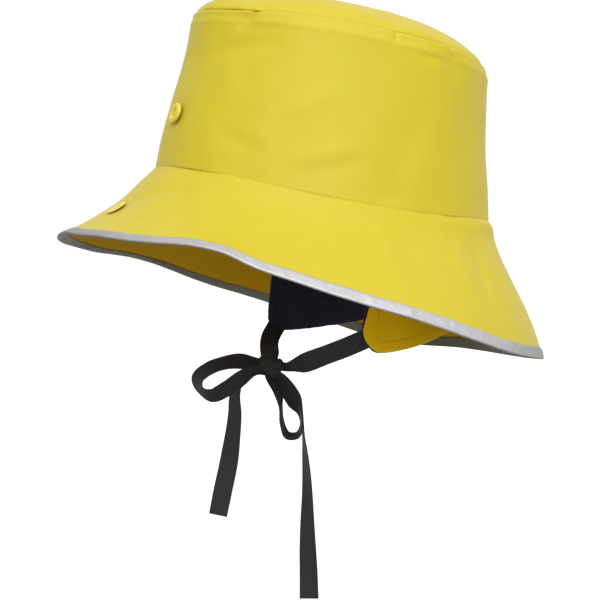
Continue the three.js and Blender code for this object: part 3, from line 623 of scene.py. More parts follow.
def crease_depth(points, surface, creases):
    """How deep the creases of a surface press it in at each of its points."""
    depth = np.zeros(points.shape[:-1])
    for crease in creases:
        start = surface(crease["angle"], crease["place"])
        along = surface(crease["to_angle"], crease["to_place"]) - start
        share = np.clip((points - start) @ along / (along @ along), 0, 1)
        away = np.linalg.norm(points - start - share[..., None] * along, axis=-1)
        fade = 1 if crease["power"] < SOFT_POWER else 1 - (2 * share - 1) ** 2
        depth += crease["depth"] * fade * np.exp(-((away / crease["width"]) ** crease["power"]))
    return depth


def unit(vectors):
    """Vectors of the same directions with length 1."""
    return vectors / np.maximum(np.linalg.norm(vectors, axis=-1, keepdims=True), 1e-12)


def travelled_along(line):
    """How far each point of a line lies from its start, along the line."""
    return np.concatenate([[0], np.cumsum(np.linalg.norm(np.diff(line, axis=0), axis=1))])


def normals_of(grid, ring, outward):
    """Unit normals of a grid of points, on the side of the point given by outward."""
    if ring:
        around = np.roll(grid, -1, axis=1) - np.roll(grid, 1, axis=1)
    else:
        around = np.gradient(grid, axis=1)
    return outward * unit(np.cross(around, np.gradient(grid, axis=0)))


def tilted(points):
    """Points of the hat, tipped back as it is worn."""
    turn = math.radians(TILT_BACK)
    x, y, z = np.moveaxis(np.asarray(points, float), -1, 0)
    ahead = y * math.cos(turn) + z * math.sin(turn)
    up = z * math.cos(turn) - y * math.sin(turn)
    return np.stack([x, ahead, up], axis=-1)


# Meshes


def add_mesh(name, points, faces, material, replaced=(), uv=None, rides=True, lined=None):
    """A smooth mesh from points in millimetres, carried by the hat's body. lined is a second
    material and the range of the faces that have it."""
    mesh = bpy.data.meshes.new(name)
    mesh.from_pydata((np.asarray(points) * MM).tolist(), [], [list(map(int, face)) for face in faces])
    mesh.validate()
    if uv is not None:
        layer = mesh.uv_layers.new(name="UVMap")
        corners = np.empty(len(mesh.loops), int)
        mesh.loops.foreach_get("vertex_index", corners)
        layer.data.foreach_set("uv", np.asarray(uv, float)[corners].ravel())
    work = bmesh.new()
    work.from_mesh(mesh)
    bmesh.ops.recalc_face_normals(work, faces=work.faces)
    work.to_mesh(mesh)
    work.free()
    mesh.shade_smooth()
    mesh.materials.append(material)
    if lined:
        mesh.materials.append(lined[0])
        for index in lined[1]:
            mesh.polygons[index].material_index = 1
    piece = bpy.data.objects.new(name, mesh)
    bpy.context.scene.collection.objects.link(piece)
    if rides:
        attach(piece, "root")
    if replaced:
        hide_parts(*replaced)
    return piece


def grid_faces(rows, columns, ring, first=0):
    """Quads between the points of a grid that are numbered row by row."""
    row, column = np.meshgrid(np.arange(rows - 1), np.arange(columns if ring else columns - 1), indexing="ij")
    after = (column + 1) % columns
    start = row * columns
    corners = [start + column, start + after, start + columns + after, start + columns + column]
    return (first + np.stack(corners, axis=-1).reshape(-1, 4)).tolist()


def closed_faces(rows, columns):
    """Quads of a grid that closes round both ways."""
    last = (rows - 1) * columns
    return grid_faces(rows, columns, True) + strip_faces([range(last, last + columns), range(columns)])


def tube_faces(rows, columns):
    """Quads round a tube and a face on each of its ends."""
    last = (rows - 1) * columns
    return grid_faces(rows, columns, True) + [range(columns), range(last, last + columns)]


def map_of(across, up):
    """Map coordinates for the points of a grid, numbered row by row."""
    return np.stack(np.broadcast_arrays(across, up), axis=-1).reshape(-1, 2)


def rounded_rim(outer, inner, behind):
    """Rows of points that round the edge between two faces of a cloth, all round a closed loop."""
    tangent = np.roll(outer, -1, axis=0) - np.roll(outer, 1, axis=0)
    half = (outer - inner) / 2
    away = unit(np.cross(tangent, half))
    if np.sum(away * (outer - behind)) < 0:
        away = -away
    reach = np.linalg.norm(half, axis=-1, keepdims=True)
    turns = [math.pi * step / 4 for step in (1, 2, 3)]
    return [inner + half + half * math.cos(turn) + away * reach * math.sin(turn) for turn in turns]


def strip_faces(loops):
    """Quads between loops of point numbers that follow each other."""
    faces = []
    for one, other in zip(loops, loops[1:]):
        for i in range(len(one)):
            after = (i + 1) % len(one)
            faces.append([one[i], one[after], other[after], other[i]])
    return faces


def ring_shell(outer, inner, pole=False):
    """Points and faces of a ring of cloth with two faces and rounded rims, or a domed middle."""
    rows, columns = outer.shape[:2]
    points = np.concatenate([outer.reshape(-1, 3), inner.reshape(-1, 3)])
    count = rows * columns
    faces = grid_faces(rows, columns, True) + grid_faces(rows, columns, True, count)
    ends = [(0, 1)] if pole else [(0, 1), (rows - 1, rows - 2)]
    for end, next_row in ends:
        rims = rounded_rim(outer[end], inner[end], outer[next_row])
        numbers = [np.arange(columns) + end * columns]
        for rim in rims:
            numbers.append(np.arange(columns) + len(points))
            points = np.concatenate([points, rim])
        numbers.append(np.arange(columns) + count + end * columns)
        faces += strip_faces(numbers)
    if pole:
        middle = [outer[-1].mean(axis=0), inner[-1].mean(axis=0)]
        for face, spot in enumerate(middle):
            first = face * count + (rows - 1) * columns
            faces += [[first + i, first + (i + 1) % columns, len(points)] for i in range(columns)]
            points = np.concatenate([points, [spot]])
    return points, faces


def border(grid_shape):
    """Numbers of the points round the border of a grid, in order."""
    rows, columns = grid_shape
    numbers = np.arange(rows * columns).reshape(rows, columns)
    sides = [numbers[0, :-1], numbers[:-1, -1], numbers[-1, :0:-1], numbers[:0:-1, 0]]
    return np.concatenate(sides)


def sheet_shell(outer, inner):
    """Points and faces of an open piece of cloth with two faces and a rounded border."""
    rows, columns = outer.shape[:2]
    count = rows * columns
    points = np.concatenate([outer.reshape(-1, 3), inner.reshape(-1, 3)])
    faces = grid_faces(rows, columns, False) + grid_faces(rows, columns, False, count)
    loop = border((rows, columns))
    middle = outer[rows // 2, columns // 2]
    outer_loop = points[loop]
    rims = rounded_rim(outer_loop, points[loop + count], middle)
    numbers = [loop]
    for rim in rims:
        numbers.append(np.arange(len(loop)) + len(points))
        points = np.concatenate([points, rim])
    numbers.append(loop + count)
    return points, faces + strip_faces(numbers)


def stitch_points(line, normals, pitch, length, radius):
    """Points and faces of a row of stitches that lie on a line: short rods with tapered ends."""
    travelled = travelled_along(line)
    points, faces = [], []

    def at(place, values):
        return np.array([np.interp(place, travelled, values[:, axis]) for axis in range(3)])

    for start in np.arange(pitch / 2, travelled[-1] - pitch / 2, pitch):
        first = len(points)
        along = unit(at(start + 0.3, line) - at(start - 0.3, line))
        for share, wide, lift in STITCH_PROFILE:
            middle = at(start + share * length, line)
            normal = unit(at(start, normals))
            side = np.cross(along, normal)
            for corner in range(STITCH_SIDES):
                turn = 2 * math.pi * corner / STITCH_SIDES
                spread = side * math.cos(turn) + normal * math.sin(turn)
                points.append(middle + normal * radius * lift + spread * radius * wide)
        starts = range(first, len(points), STITCH_SIDES)
        rings = [range(start, start + STITCH_SIDES) for start in starts]
        faces += strip_faces(rings) + [rings[0], rings[-1]]
    return np.array(points), faces


def add_stitches(name, line, normals, thread):
    """Stitches of a thread along a line on the hat's cloth."""
    settings = bpy.context.scene.rain_hat
    pitch = thread["pitch"] * (settings.stitch_pitch / MM)
    length = thread["length"] * (settings.stitch_length / MM)
    points, faces = stitch_points(tilted(line), tilted(normals), pitch, length, thread["radius"])
    material = material_of(thread["name"], thread_material, thread["name"], linear(thread["colour"]))
    add_mesh(name, points, faces, material)


# Materials


def add_node(tree, kind, inputs=None, **settings):
    """A node with its settings, its values and its links from other nodes' sockets."""
    node = tree.nodes.new(kind)
    for name, value in settings.items():
        setattr(node, name, value)
    for name, value in (inputs or {}).items():
        if isinstance(value, bpy.types.NodeSocket):
            tree.links.new(value, node.inputs[name])
        else:
            node.inputs[name].default_value = value
    return node


def new_material(name):
    """An empty node material and its tree."""
    material = bpy.data.materials.new(name)
    material.use_nodes = True
    material.node_tree.nodes.clear()
    return material, material.node_tree


def finish_material(tree, inputs):
    """The surface shader with these values, joined to the material's output."""
    shader = add_node(tree, "ShaderNodeBsdfPrincipled", inputs)
    add_node(tree, "ShaderNodeOutputMaterial", {"Surface": shader.outputs["BSDF"]})


def tinted(tree, colour, factor, darker, lighter):
    """A colour that varies a little with a pattern between a darker and a lighter one."""
    ramp = add_node(tree, "ShaderNodeValToRGB", {"Fac": factor})
    ramp.color_ramp.elements[0].color = [*(v * darker for v in colour), 1]
    ramp.color_ramp.elements[1].color = [*(min(1, v * lighter) for v in colour), 1]
    return ramp.outputs["Color"]


def cloth_material(colour):
    """Woven polyester with a polyurethane coat: the coat levels the weave to a satin skin that
    gives broad soft highlights and a faint leathery grain."""
    material, tree = new_material("coated_polyester")
    place = add_node(tree, "ShaderNodeTexCoord").outputs["Object"]
    broad = {"Vector": place, "Scale": 28, "Detail": 3, "Roughness": 0.55}
    cloud = add_node(tree, "ShaderNodeTexNoise", broad).outputs["Fac"]
    fine = {"Vector": place, "Scale": 900, "Detail": 2, "Roughness": 0.6}
    grain = add_node(tree, "ShaderNodeTexNoise", fine).outputs["Fac"]
    bump = add_node(tree, "ShaderNodeBump", {"Height": grain, "Strength": 0.12, "Distance": 0.0002})
    rough = add_node(tree, "ShaderNodeMapRange", {"Value": cloud, "To Min": 0.38, "To Max": 0.5})
    finish_material(tree, {
        "Base Color": tinted(tree, colour, cloud, 0.965, 1.03),
        "Roughness": rough.outputs["Result"],
        "Specular IOR Level": 0.2,
        "Normal": bump.outputs["Normal"],
    })
    return material


def backing_material(name, colour):
    """Knitted polyester backing of the coated cloth: uncoated and matt, with fine loops that only soften
    its highlights. The colours it is given are deeper and more orange than the coated cloth's:
    partly the knit's own colour, partly painted shade and warm bounced light, for the inside of
    the hat and the flap under the brim."""
    material, tree = new_material(name)
    place = add_node(tree, "ShaderNodeTexCoord").outputs["Object"]
    knit = {"Vector": place, "Scale": 1100, "Detail": 2}
    loops = add_node(tree, "ShaderNodeTexNoise", knit).outputs["Fac"]
    bump = add_node(tree, "ShaderNodeBump", {"Height": loops, "Strength": 0.2, "Distance": 0.0002})
    finish_material(tree, {
        "Base Color": tinted(tree, colour, loops, 0.93, 1.06),
        "Roughness": 0.85,
        "Specular IOR Level": 0.06,
        "Normal": bump.outputs["Normal"],
    })
    return material


def tape_material(colour):
    """Retro-reflective tape: fine glass beads half sunk in an aluminium layer on cloth, which
    gives a pale silver grey with a soft sheen and a barely rough face. The map's second number
    blends it toward a darker brownish grey: painted shade where the tape is turned under the brim
    and near the hat's front and back, with a painted reflection of the yellow cloth in it."""
    material, tree = new_material("glass_bead_tape")
    place = add_node(tree, "ShaderNodeTexCoord").outputs["Object"]
    patches = {"Vector": place, "Scale": 150, "Detail": 4, "Roughness": 0.65}
    cloud = add_node(tree, "ShaderNodeTexNoise", patches)
    beads = add_node(tree, "ShaderNodeTexVoronoi", {"Vector": place, "Scale": 2200})
    rough = {"Height": beads.outputs["Distance"], "Strength": 0.1, "Distance": 0.0001}
    bump = add_node(tree, "ShaderNodeBump", rough)
    mapped = add_node(tree, "ShaderNodeTexCoord").outputs["UV"]
    # The map's second number: painted shade, darker where the tape is turned under and near the front and
    # back
    dull = add_node(tree, "ShaderNodeSeparateXYZ", {"Vector": mapped}).outputs["Y"]
    silver = tinted(tree, colour, cloud.outputs["Fac"], 0.82, 1.1)
    tape_shade_mix = {"Fac": dull, "Color1": silver, "Color2": [*linear(PAINTED_SHADE_TAPE), 1]}
    finish_material(tree, {
        "Base Color": add_node(tree, "ShaderNodeMixRGB", tape_shade_mix).outputs["Color"],
        "Metallic": 0.5,
        "Roughness": 0.5,
        "Specular IOR Level": 0.15,
        "Normal": bump.outputs["Normal"],
    })
    return material


def plastic_material(colour):
    """Moulded acetal snap in the cloth's colour: a smooth hard plastic with a clear highlight."""
    material, tree = new_material("moulded_acetal")
    finish_material(tree, {"Base Color": [*colour, 1], "Roughness": 0.3, "Specular IOR Level": 0.4})
    return material


def fleece_material(colour):
    """Polar fleece: brushed polyester pile, matt and mottled, with a soft sheen at its fibres."""
    material, tree = new_material("polar_fleece")
    place = add_node(tree, "ShaderNodeTexCoord").outputs["Object"]
    tufts = {"Vector": place, "Scale": 420, "Detail": 4, "Roughness": 0.7}
    pile = add_node(tree, "ShaderNodeTexNoise", tufts).outputs["Fac"]
    bump = add_node(tree, "ShaderNodeBump", {"Height": pile, "Strength": 0.6, "Distance": 0.0006})
    finish_material(tree, {
        "Base Color": tinted(tree, colour, pile, 0.5, 1.7),
        "Roughness": 0.95,
        "Specular IOR Level": 0.1,
        "Sheen Weight": 0.08,
        "Sheen Roughness": 0.6,
        "Normal": bump.outputs["Normal"],
    })
    return material


def ribbon_material(colour):
    """Grosgrain: a polyester ribbon with a ribbed weave, dull black with a faint gloss on its
    threads. The weave is drawn as dots about 1 mm apart, coarser than the real one, so that it
    shows."""
    material, tree = new_material("grosgrain_ribbon")
    place = add_node(tree, "ShaderNodeTexCoord").outputs["UV"]
    waves = {"Vector": place, "Scale": 0.3, "Distortion": 0.3, "Detail": 1}
    ribs = add_node(tree, "ShaderNodeTexWave", waves, bands_direction="X").outputs["Fac"]
    warp = add_node(tree, "ShaderNodeTexWave", waves, bands_direction="Y").outputs["Fac"]
    weave = add_node(tree, "ShaderNodeMath", {0: ribs, 1: warp}, operation="MULTIPLY").outputs[0]
    bump = add_node(tree, "ShaderNodeBump", {"Height": weave, "Strength": 0.5, "Distance": 0.00025})
    finish_material(tree, {
        "Base Color": tinted(tree, colour, weave, 0.72, 2.3),
        "Roughness": 0.7,
        "Specular IOR Level": 0.25,
        "Sheen Weight": 0.05,
        "Normal": bump.outputs["Normal"],
    })
    return material


def thread_material(name, colour):
    """Polyester sewing thread: twisted and slightly glossy."""
    material, tree = new_material(name)
    finish_material(tree, {"Base Color": [*colour, 1], "Roughness": 0.55})
    return material


def floor_material():
    """Matt paper, white farther out and painted a pale grey under the hat: a painted shadow, which also keeps
    bounced light off the hat's underside.
    """
    material, tree = new_material("studio_floor")
    place = add_node(tree, "ShaderNodeTexCoord").outputs["Object"]
    away = add_node(tree, "ShaderNodeVectorMath", {0: place}, operation="LENGTH").outputs["Value"]
    reach = {"From Min": FLOOR_SHADE_REACH * 0.4, "From Max": FLOOR_SHADE_REACH}
    share = add_node(tree, "ShaderNodeMapRange", {"Value": away, **reach}, interpolation_type="SMOOTHSTEP")
    # Painted shadow: grey under the hat, white farther out
    floor_shade = add_node(tree, "ShaderNodeValToRGB", {"Fac": share.outputs["Result"]})
    floor_shade.color_ramp.elements[0].color = [FLOOR_PAINTED_SHADE, FLOOR_PAINTED_SHADE, FLOOR_PAINTED_SHADE, 1]
    floor_shade.color_ramp.elements[1].color = [FLOOR_WHITE, FLOOR_WHITE, FLOOR_WHITE, 1]
    finish_material(tree, {"Base Color": floor_shade.outputs["Color"], "Roughness": 1.0})
    return material


def material_of(name, make, *values):
    """The material of this name, made once and then shared."""
    return bpy.data.materials.get(name) or make(*values)


def cloth():
    """The crown's and brim's coated cloth."""
    return material_of("coated_polyester", cloth_material, bpy.context.scene.rain_hat.cloth_colour)


def shaded_backing():
    """The knitted back of that cloth, in a deeper colour that is partly painted shade of the hat's inside."""
    colour = bpy.context.scene.rain_hat.backing_shade_colour
    return material_of("knit_backing", backing_material, "knit_backing", colour)


def add_cloth_ring(name, outer, inner, replaced, pole=False):
    """A ring or a dome of the coated cloth, with its knitted backing on the inner face."""
    points, faces = ring_shell(tilted(outer), tilted(inner), pole)
    count = (outer.shape[0] - 1) * outer.shape[1]
    lined = (shaded_backing(), range(count, 2 * count))
    add_mesh(name, points, faces, cloth(), [replaced], lined=lined)


# Settings


COLOUR = dict(min=0.0, max=1.0, subtype="COLOR")


class RainHatSettings(bpy.types.PropertyGroup):
    """Sizes and colours of the rain hat."""

    ribbon_thickness: bpy.props.FloatProperty(
        name="Ribbon Thickness",
        description="Thickness of the two tying ribbons",
        default=0.0006,
        min=0.0003,
        max=0.0012,
        unit="LENGTH",
    )
    stitch_length: bpy.props.FloatProperty(
        name="Stitch Length",
        description="Length of one visible stitch of the topstitching",
        default=0.0024,
        min=0.001,
        max=0.005,
        unit="LENGTH",
    )
    stitch_pitch: bpy.props.FloatProperty(
        name="Stitch Pitch",
        description="Distance from one stitch to the next",
        default=0.0032,
        min=0.0015,
        max=0.008,
        unit="LENGTH",
    )
    wrinkle: bpy.props.FloatProperty(
        name="Wrinkle",
        description="How far the coated cloth is uneven from handling",
        default=0.00035,
        min=0.0,
        max=0.001,
        unit="LENGTH",
    )
    cloth_colour: bpy.props.FloatVectorProperty(
        name="Cloth Colour",
        description="Colour of the coated cloth",
        default=linear("#AD9D22"),
        **COLOUR,
    )
    # The backing's own colour, made darker and more orange as painted shade of the hat's inside and
    # under-brim
    backing_shade_colour: bpy.props.FloatVectorProperty(
        name="Backing Colour",
        description="Colour of the cloth's uncoated back",
        default=linear("#A27B03"),
        **COLOUR,
    )
    # The yellow of the flap's face, tinted orange as painted shade and warm bounced light under the brim
    flap_shade_colour: bpy.props.FloatVectorProperty(
        name="Flap Colour",
        description="Colour of the outer face of the ear-and-neck flap",
        default=linear("#CBA40A"),
        **COLOUR,
    )
    tape_colour: bpy.props.FloatVectorProperty(
        name="Tape Colour",
        description="Colour of the reflective edge tape",
        default=linear("#B2B2B4"),
        **COLOUR,
    )
    fleece_colour: bpy.props.FloatVectorProperty(
        name="Fleece Colour",
        description="Colour of the flap's lining",
        default=linear("#24222C"),
        **COLOUR,
    )
    ribbon_colour: bpy.props.FloatVectorProperty(
        name="Ribbon Colour",
        description="Colour of the two ribbons",
        default=linear("#1F1E20"),
        **COLOUR,
    )
    snap_colour: bpy.props.FloatVectorProperty(
        name="Snap Colour",
        description="Colour of the snap fasteners",
        default=linear("#BDAA2C"),
        **COLOUR,
    )


# Stage


def add_camera():
    """The camera that sees the hat as the photograph does."""
    scene = bpy.context.scene
    data = bpy.data.cameras.new("photo_camera")
    data.sensor_width = SENSOR_WIDTH
    data.lens = SENSOR_WIDTH * CAMERA_DISTANCE / VIEW_WIDTH
    data.clip_end = 100
    camera = bpy.data.objects.new("photo_camera", data)
    scene.collection.objects.link(camera)
    way = Vector(CAMERA_WAY).normalized()
    camera.location = Vector(CAMERA_TARGET) + way * CAMERA_DISTANCE
    camera.rotation_mode = "QUATERNION"
    camera.rotation_quaternion = (-way).to_track_quat("-Z", "Y")
    scene.camera = camera


def add_floor():
    """A floor that reaches to the horizon all round."""
    turns = np.radians(np.arange(FLOOR_SIDES) * 360 / FLOOR_SIDES)
    out = FLOOR_RADIUS / MM
    low = np.full(FLOOR_SIDES, FLOOR_HEIGHT / MM)
    points = np.stack([out * np.cos(turns), out * np.sin(turns), low], axis=-1)
    material = material_of("studio_floor", floor_material)
    floor = add_mesh("studio_floor", points, [range(FLOOR_SIDES)], material, rides=False)


def add_key_light():
    """One broad soft light, high on the side of the camera."""
    data = bpy.data.lights.new("key_light", "SUN")
    data.energy = KEY_STRENGTH
    data.angle = math.radians(KEY_SPREAD)
    light = bpy.data.objects.new("key_light", data)
    bpy.context.scene.collection.objects.link(light)
    light.rotation_mode = "QUATERNION"
    light.rotation_quaternion = Vector(KEY_WAY).to_track_quat("Z", "Y")


def add_world():
    """White surroundings that darken softly to the left and right of the photograph's view."""
    world = bpy.data.worlds.new("studio_world")
    world.use_nodes = True
    tree = world.node_tree
    tree.nodes.clear()
    way = add_node(tree, "ShaderNodeTexCoord").outputs["Generated"]
    across = Vector(CAMERA_WAY).cross(Vector((0, 0, 1)))
    dot = add_node(tree, "ShaderNodeVectorMath", {0: way, 1: across}, operation="DOT_PRODUCT")
    aside = dot.outputs["Value"]
    share = add_node(tree, "ShaderNodeMath", {0: aside, 1: aside}, operation="MULTIPLY").outputs["Value"]
    limits = {"From Min": SIDE_START, "To Min": SKY_STRENGTH, "To Max": SIDE_STRENGTH}
    strength = add_node(tree, "ShaderNodeMapRange", {"Value": share, **limits}).outputs["Result"]
    sky = add_node(tree, "ShaderNodeBackground", {"Color": [1, 1, 1, 1], "Strength": strength})
    add_node(tree, "ShaderNodeOutputWorld", {"Surface": sky.outputs["Background"]})
    bpy.context.scene.world = world


class RAINHAT_OT_add_stage(bpy.types.Operator):
    """Add the camera, the pale floor and the soft studio light"""

    bl_idname = "rainhat.add_stage"
    bl_label = "Add Stage"

    def execute(self, context):
        context.scene.view_settings.view_transform = "Standard"
        add_camera()
        add_floor()
        add_world()
        add_key_light()
        return {"FINISHED"}


# Ribbons and knot


def bow_to_hat(spots):
    """Points or directions of the bow's plane, given as across, toward and up, in the hat's frame."""
    turn = math.radians(BOW_TURN)
    across, toward, up = np.moveaxis(np.asarray(spots, float), -1, 0)
    x = across * math.cos(turn) + toward * math.sin(turn)
    y = across * math.sin(turn) - toward * math.cos(turn)
    return np.stack([x, y, up], axis=-1)


def ribbon_route(rows):
    """Middle points, unit directions, edge directions and half widths along a ribbon."""
    spots = np.array([[row["across"], row["toward"], row["up"]] for row in rows], float)
    reach = travelled_along(spots)
    edges = []
    for row in rows:
        seen = math.hypot(row["edge_across"], row["edge_up"])
        hidden = math.sqrt(max(0, row["half"] ** 2 - seen**2))
        edge = np.array([row["edge_across"], row["side"] * hidden, row["edge_up"]])
        edge = edge if not edges or edge @ edges[-1] > 0 else -edge
        edges.append(edge / row["half"])
    names = ("x", "y", "z", "ex", "ey", "ez")
    table = smooth_table(
        [
            dict(at=place, half=row["half"], **dict(zip(names, [*spot, *edge])))
            for place, row, spot, edge in zip(reach, rows, spots, edges)
        ],
        "at",
    )
    places = np.linspace(0, reach[-1], int(reach[-1] / RIBBON_STEP))
    found = table(places)
    middle = np.stack([found[name] for name in names[:3]], axis=-1)
    along = unit(np.gradient(middle, axis=0))
    edge = np.stack([found[name] for name in names[3:]], axis=-1)
    edge = unit(edge - np.sum(edge * along, axis=-1, keepdims=True) * along)
    return bow_to_hat(middle), bow_to_hat(along), bow_to_hat(edge), found["half"]


def ribbon_mesh(name, rows, replaced, thickness, material):
    """One ribbon from its sewn end to its cut end, flat where free and pleated where gathered."""
    middle, along, edge, half = ribbon_route(rows)
    normal = np.cross(along, edge)
    lips = np.array([*RIBBON_SPREAD, *RIBBON_SPREAD[::-1]])
    face = np.repeat([1, -1], len(RIBBON_SPREAD))
    away = np.abs(lips)
    rounding = np.where(away > 0.99, RIBBON_EDGE, np.where(away > 0.9, RIBBON_SELVAGE, 1))
    gather = np.clip(FULL_HALF - half, 0, MOST_GATHERED)[:, None, None]
    pleat = RIBBON_PLEAT * gather * np.cos(3 * math.pi * lips)[None, :, None]
    curl = RIBBON_CURL * (lips**2)[None, :, None] * (MOST_GATHERED - gather) / MOST_GATHERED
    offset = normal[:, None, :] * ((thickness / 2) * (face * rounding)[None, :, None] + pleat + curl)
    grid = middle[:, None, :] + edge[:, None, :] * half[:, None, None] * lips[None, :, None] + offset
    travelled = travelled_along(middle)
    uv = map_of(travelled[:, None], lips[None, :] * FULL_HALF)
    faces = tube_faces(len(middle), len(lips))
    piece = add_mesh(name, grid.reshape(-1, 3), faces, material, replaced, uv)
    return piece, middle, float(travelled[-1])


def add_knot(material):
    """The knot: one turn of the ribbon round the gathered others, slanted, with soft pleats."""
    across = np.linspace(-1, 1, KNOT_ROWS)[:, None]
    turn = np.linspace(0, 2 * math.pi, KNOT_COLUMNS, endpoint=False)[None, :]
    swell = (1 - 0.9 * np.abs(across) ** 5) ** 0.5
    pleats = KNOT_PLEAT * np.cos(9 * across + 1.2 * np.sin(turn))
    high = KNOT["tall"] / 2 * swell
    deep = KNOT["deep"] / 2 * swell
    flat = 1 / (np.abs(np.cos(turn)) ** 3 + np.abs(np.sin(turn)) ** 3) ** (1 / 3)
    toward = (deep + pleats) * np.cos(turn) * flat
    up = (high + pleats) * np.sin(turn) * flat
    wide = across * KNOT["wide"] / 2 * (1 + 0.08 * np.cos(turn))
    slant = math.radians(KNOT["slant"])
    spots = np.stack(
        [
            KNOT["across"] + wide * math.cos(slant) - up * math.sin(slant),
            KNOT["toward"] + toward,
            KNOT["up"] + up * math.cos(slant) + wide * math.sin(slant),
        ],
        axis=-1,
    )
    grid = bow_to_hat(spots)
    faces = tube_faces(KNOT_ROWS, KNOT_COLUMNS)
    uv = map_of(turn * KNOT["tall"], across * KNOT["wide"] / 2)
    points, more = knot_fold(len(uv))
    uv = np.concatenate([uv, points[:, [0, 2]]])
    points = np.concatenate([grid.reshape(-1, 3), bow_to_hat(points)])
    return add_mesh("bow_knot_wrap", points, faces + more, material, ["bow_knot"], uv)


def knot_fold(first):
    """The fold that hangs out below the knot's turn and ends in a point. Its points are numbered
    on from first."""
    down = np.linspace(0, 1, FOLD_ROWS)[:, None]
    over = np.linspace(0, 1, FOLD_COLUMNS)[None, :]
    left, right, tip = (np.array(KNOT_FOLD[name]) for name in ("left", "right", "tip"))
    flat = mix(mix(left, right, over[..., None]), tip, 0.97 * down[..., None])
    toward = KNOT_FOLD["toward"] + 0.8 * np.sin(math.pi * over) * (1 - down) - 1.2 * down
    front = np.concatenate([flat[..., :1], toward[..., None], flat[..., 1:]], axis=-1)
    back = front - (0, KNOT_FOLD["thick"], 0)
    points, faces = sheet_shell(front, back)
    return points, [[corner + first for corner in face] for face in faces]


class RAINHAT_OT_add_ribbons(bpy.types.Operator):
    """Add the two ribbons, tied in a bow"""

    bl_idname = "rainhat.add_ribbons"
    bl_label = "Add Ribbons"

    def execute(self, context):
        settings = context.scene.rain_hat
        material = material_of("grosgrain_ribbon", ribbon_material, settings.ribbon_colour)
        thickness = settings.ribbon_thickness / MM
        knot = add_knot(material)
        near_nodes = ["tie_near", "bow_loop_left", "tail_right"]
        far_nodes = ["tie_far", "bow_loop_right", "tail_left"]
        near = ribbon_mesh("ribbon_near", NEAR_RIBBON, near_nodes, thickness, material)
        far = ribbon_mesh("ribbon_far", FAR_RIBBON, far_nodes, thickness, material)
        return {"FINISHED"}


# Crown


def worked(grid, ring, outward, surface, creases, wrinkle, seed):
    """A surface with its creases and a little unevenness that runs mostly up and down."""
    normals = normals_of(grid, ring, outward)
    slow = grid * (1, 1, UPRIGHT_WAVES)
    uneven = 0.75 * ripple(slow, LONG_WAVE, seed) + 0.25 * ripple(slow, SHORT_WAVE, seed + 1)
    push = wrinkle * uneven - crease_depth(grid, surface, creases)
    return grid + normals * push[..., None], normals


def puckers(angle, distance, seed):
    """Small gathers that a seam draws into the cloth, fading away from it."""
    draw = np.random.RandomState(seed)
    total = 0
    for count in PUCKER_COUNTS:
        total = total + np.cos(np.radians(angle) * count + draw.uniform(0, 6)) * draw.uniform(0.4, 1)
    patches = 0.5 + 0.5 * np.cos(np.radians(angle) * 5 + draw.uniform(0, 6))
    return total * patches * np.exp(-distance / PUCKER_FADE)


def seam_line(distance, seam):
    """How far the cloth is raised beside a seam and drawn in at the seam itself."""
    roll = seam["roll"] * bell(distance - seam["roll_at"], seam["roll_wide"])
    return roll - seam["groove"] * bell(distance, seam["groove_wide"])


def ring_angles(columns=RING_COLUMNS):
    """The angles of a ring's columns of points."""
    return np.arange(columns)[None, :] * 360 / columns


def add_wall(wrinkle):
    """The side wall, with rows of points closer together over its shoulder."""
    angle = ring_angles()
    rows = [[0.1, 0.7], np.linspace(1.6, 72, WALL_ROWS), np.linspace(72.6, 80.4, SHOULDER_ROWS)]
    up = np.concatenate(rows)[:, None]
    below_tip = TIP_SEAM_HEIGHT - up
    outer, normals = worked(wall_point(angle, up), True, 1, wall_point, WALL_CREASES, wrinkle, 3)
    gather = WALL_FOOT_PUCKER * puckers(angle, up, 5) + WALL_TOP_PUCKER * puckers(angle, below_tip, 6)
    outer = outer + normals * (gather + seam_line(below_tip, WALL_SEAM))[..., None]
    add_cloth_ring("crown_wall_cloth", outer, outer - normals * CLOTH, "crown_wall")


def add_tip(wrinkle):
    """The domed tip, sewn to the wall."""
    angle = ring_angles()
    reach = np.concatenate([[0.994, 0.986], np.linspace(0.97, 0.03, TIP_RINGS), [0.012]])[:, None]
    from_seam = (1 - reach) * TIP_RADIUS
    outer, normals = worked(tip_point(angle, reach), True, 1, tip_point, TIP_CREASES, wrinkle, 4)
    gather = TIP_PUCKER * puckers(angle, from_seam, 7)
    outer = outer + normals * (gather + seam_line(from_seam, TIP_SEAM))[..., None]
    add_cloth_ring("crown_tip_cloth", outer, outer - normals * CLOTH, "crown_tip", pole=True)


class RAINHAT_OT_add_crown(bpy.types.Operator):
    """Add the crown's wall and its domed tip"""

    bl_idname = "rainhat.add_crown"
    bl_label = "Add Crown"

    def execute(self, context):
        wrinkle = context.scene.rain_hat.wrinkle / MM
        add_wall(wrinkle)
        add_tip(wrinkle)
        return {"FINISHED"}


# Brim and tape


def brim_surface(angle, reach, wrinkle):
    """The brim's upper face with its creases and puckers, and its upward normals."""
    grid = brim_point(angle, reach)
    calm = 1 - 0.6 * reach**2
    outer, normals = worked(grid, True, -1, brim_point, BRIM_CREASES, wrinkle, 8)
    outer = grid + (outer - grid) * calm[..., None]
    gather = BRIM_PUCKER * puckers(angle, reach * BRIM_SLOPE, 9)
    return outer + normals * gather[..., None], normals


def brim_thickness(reach):
    """Thickness of the brim, less toward its edge."""
    return mix(CLOTH, BRIM_EDGE_CLOTH, np.asarray(reach)[..., None])


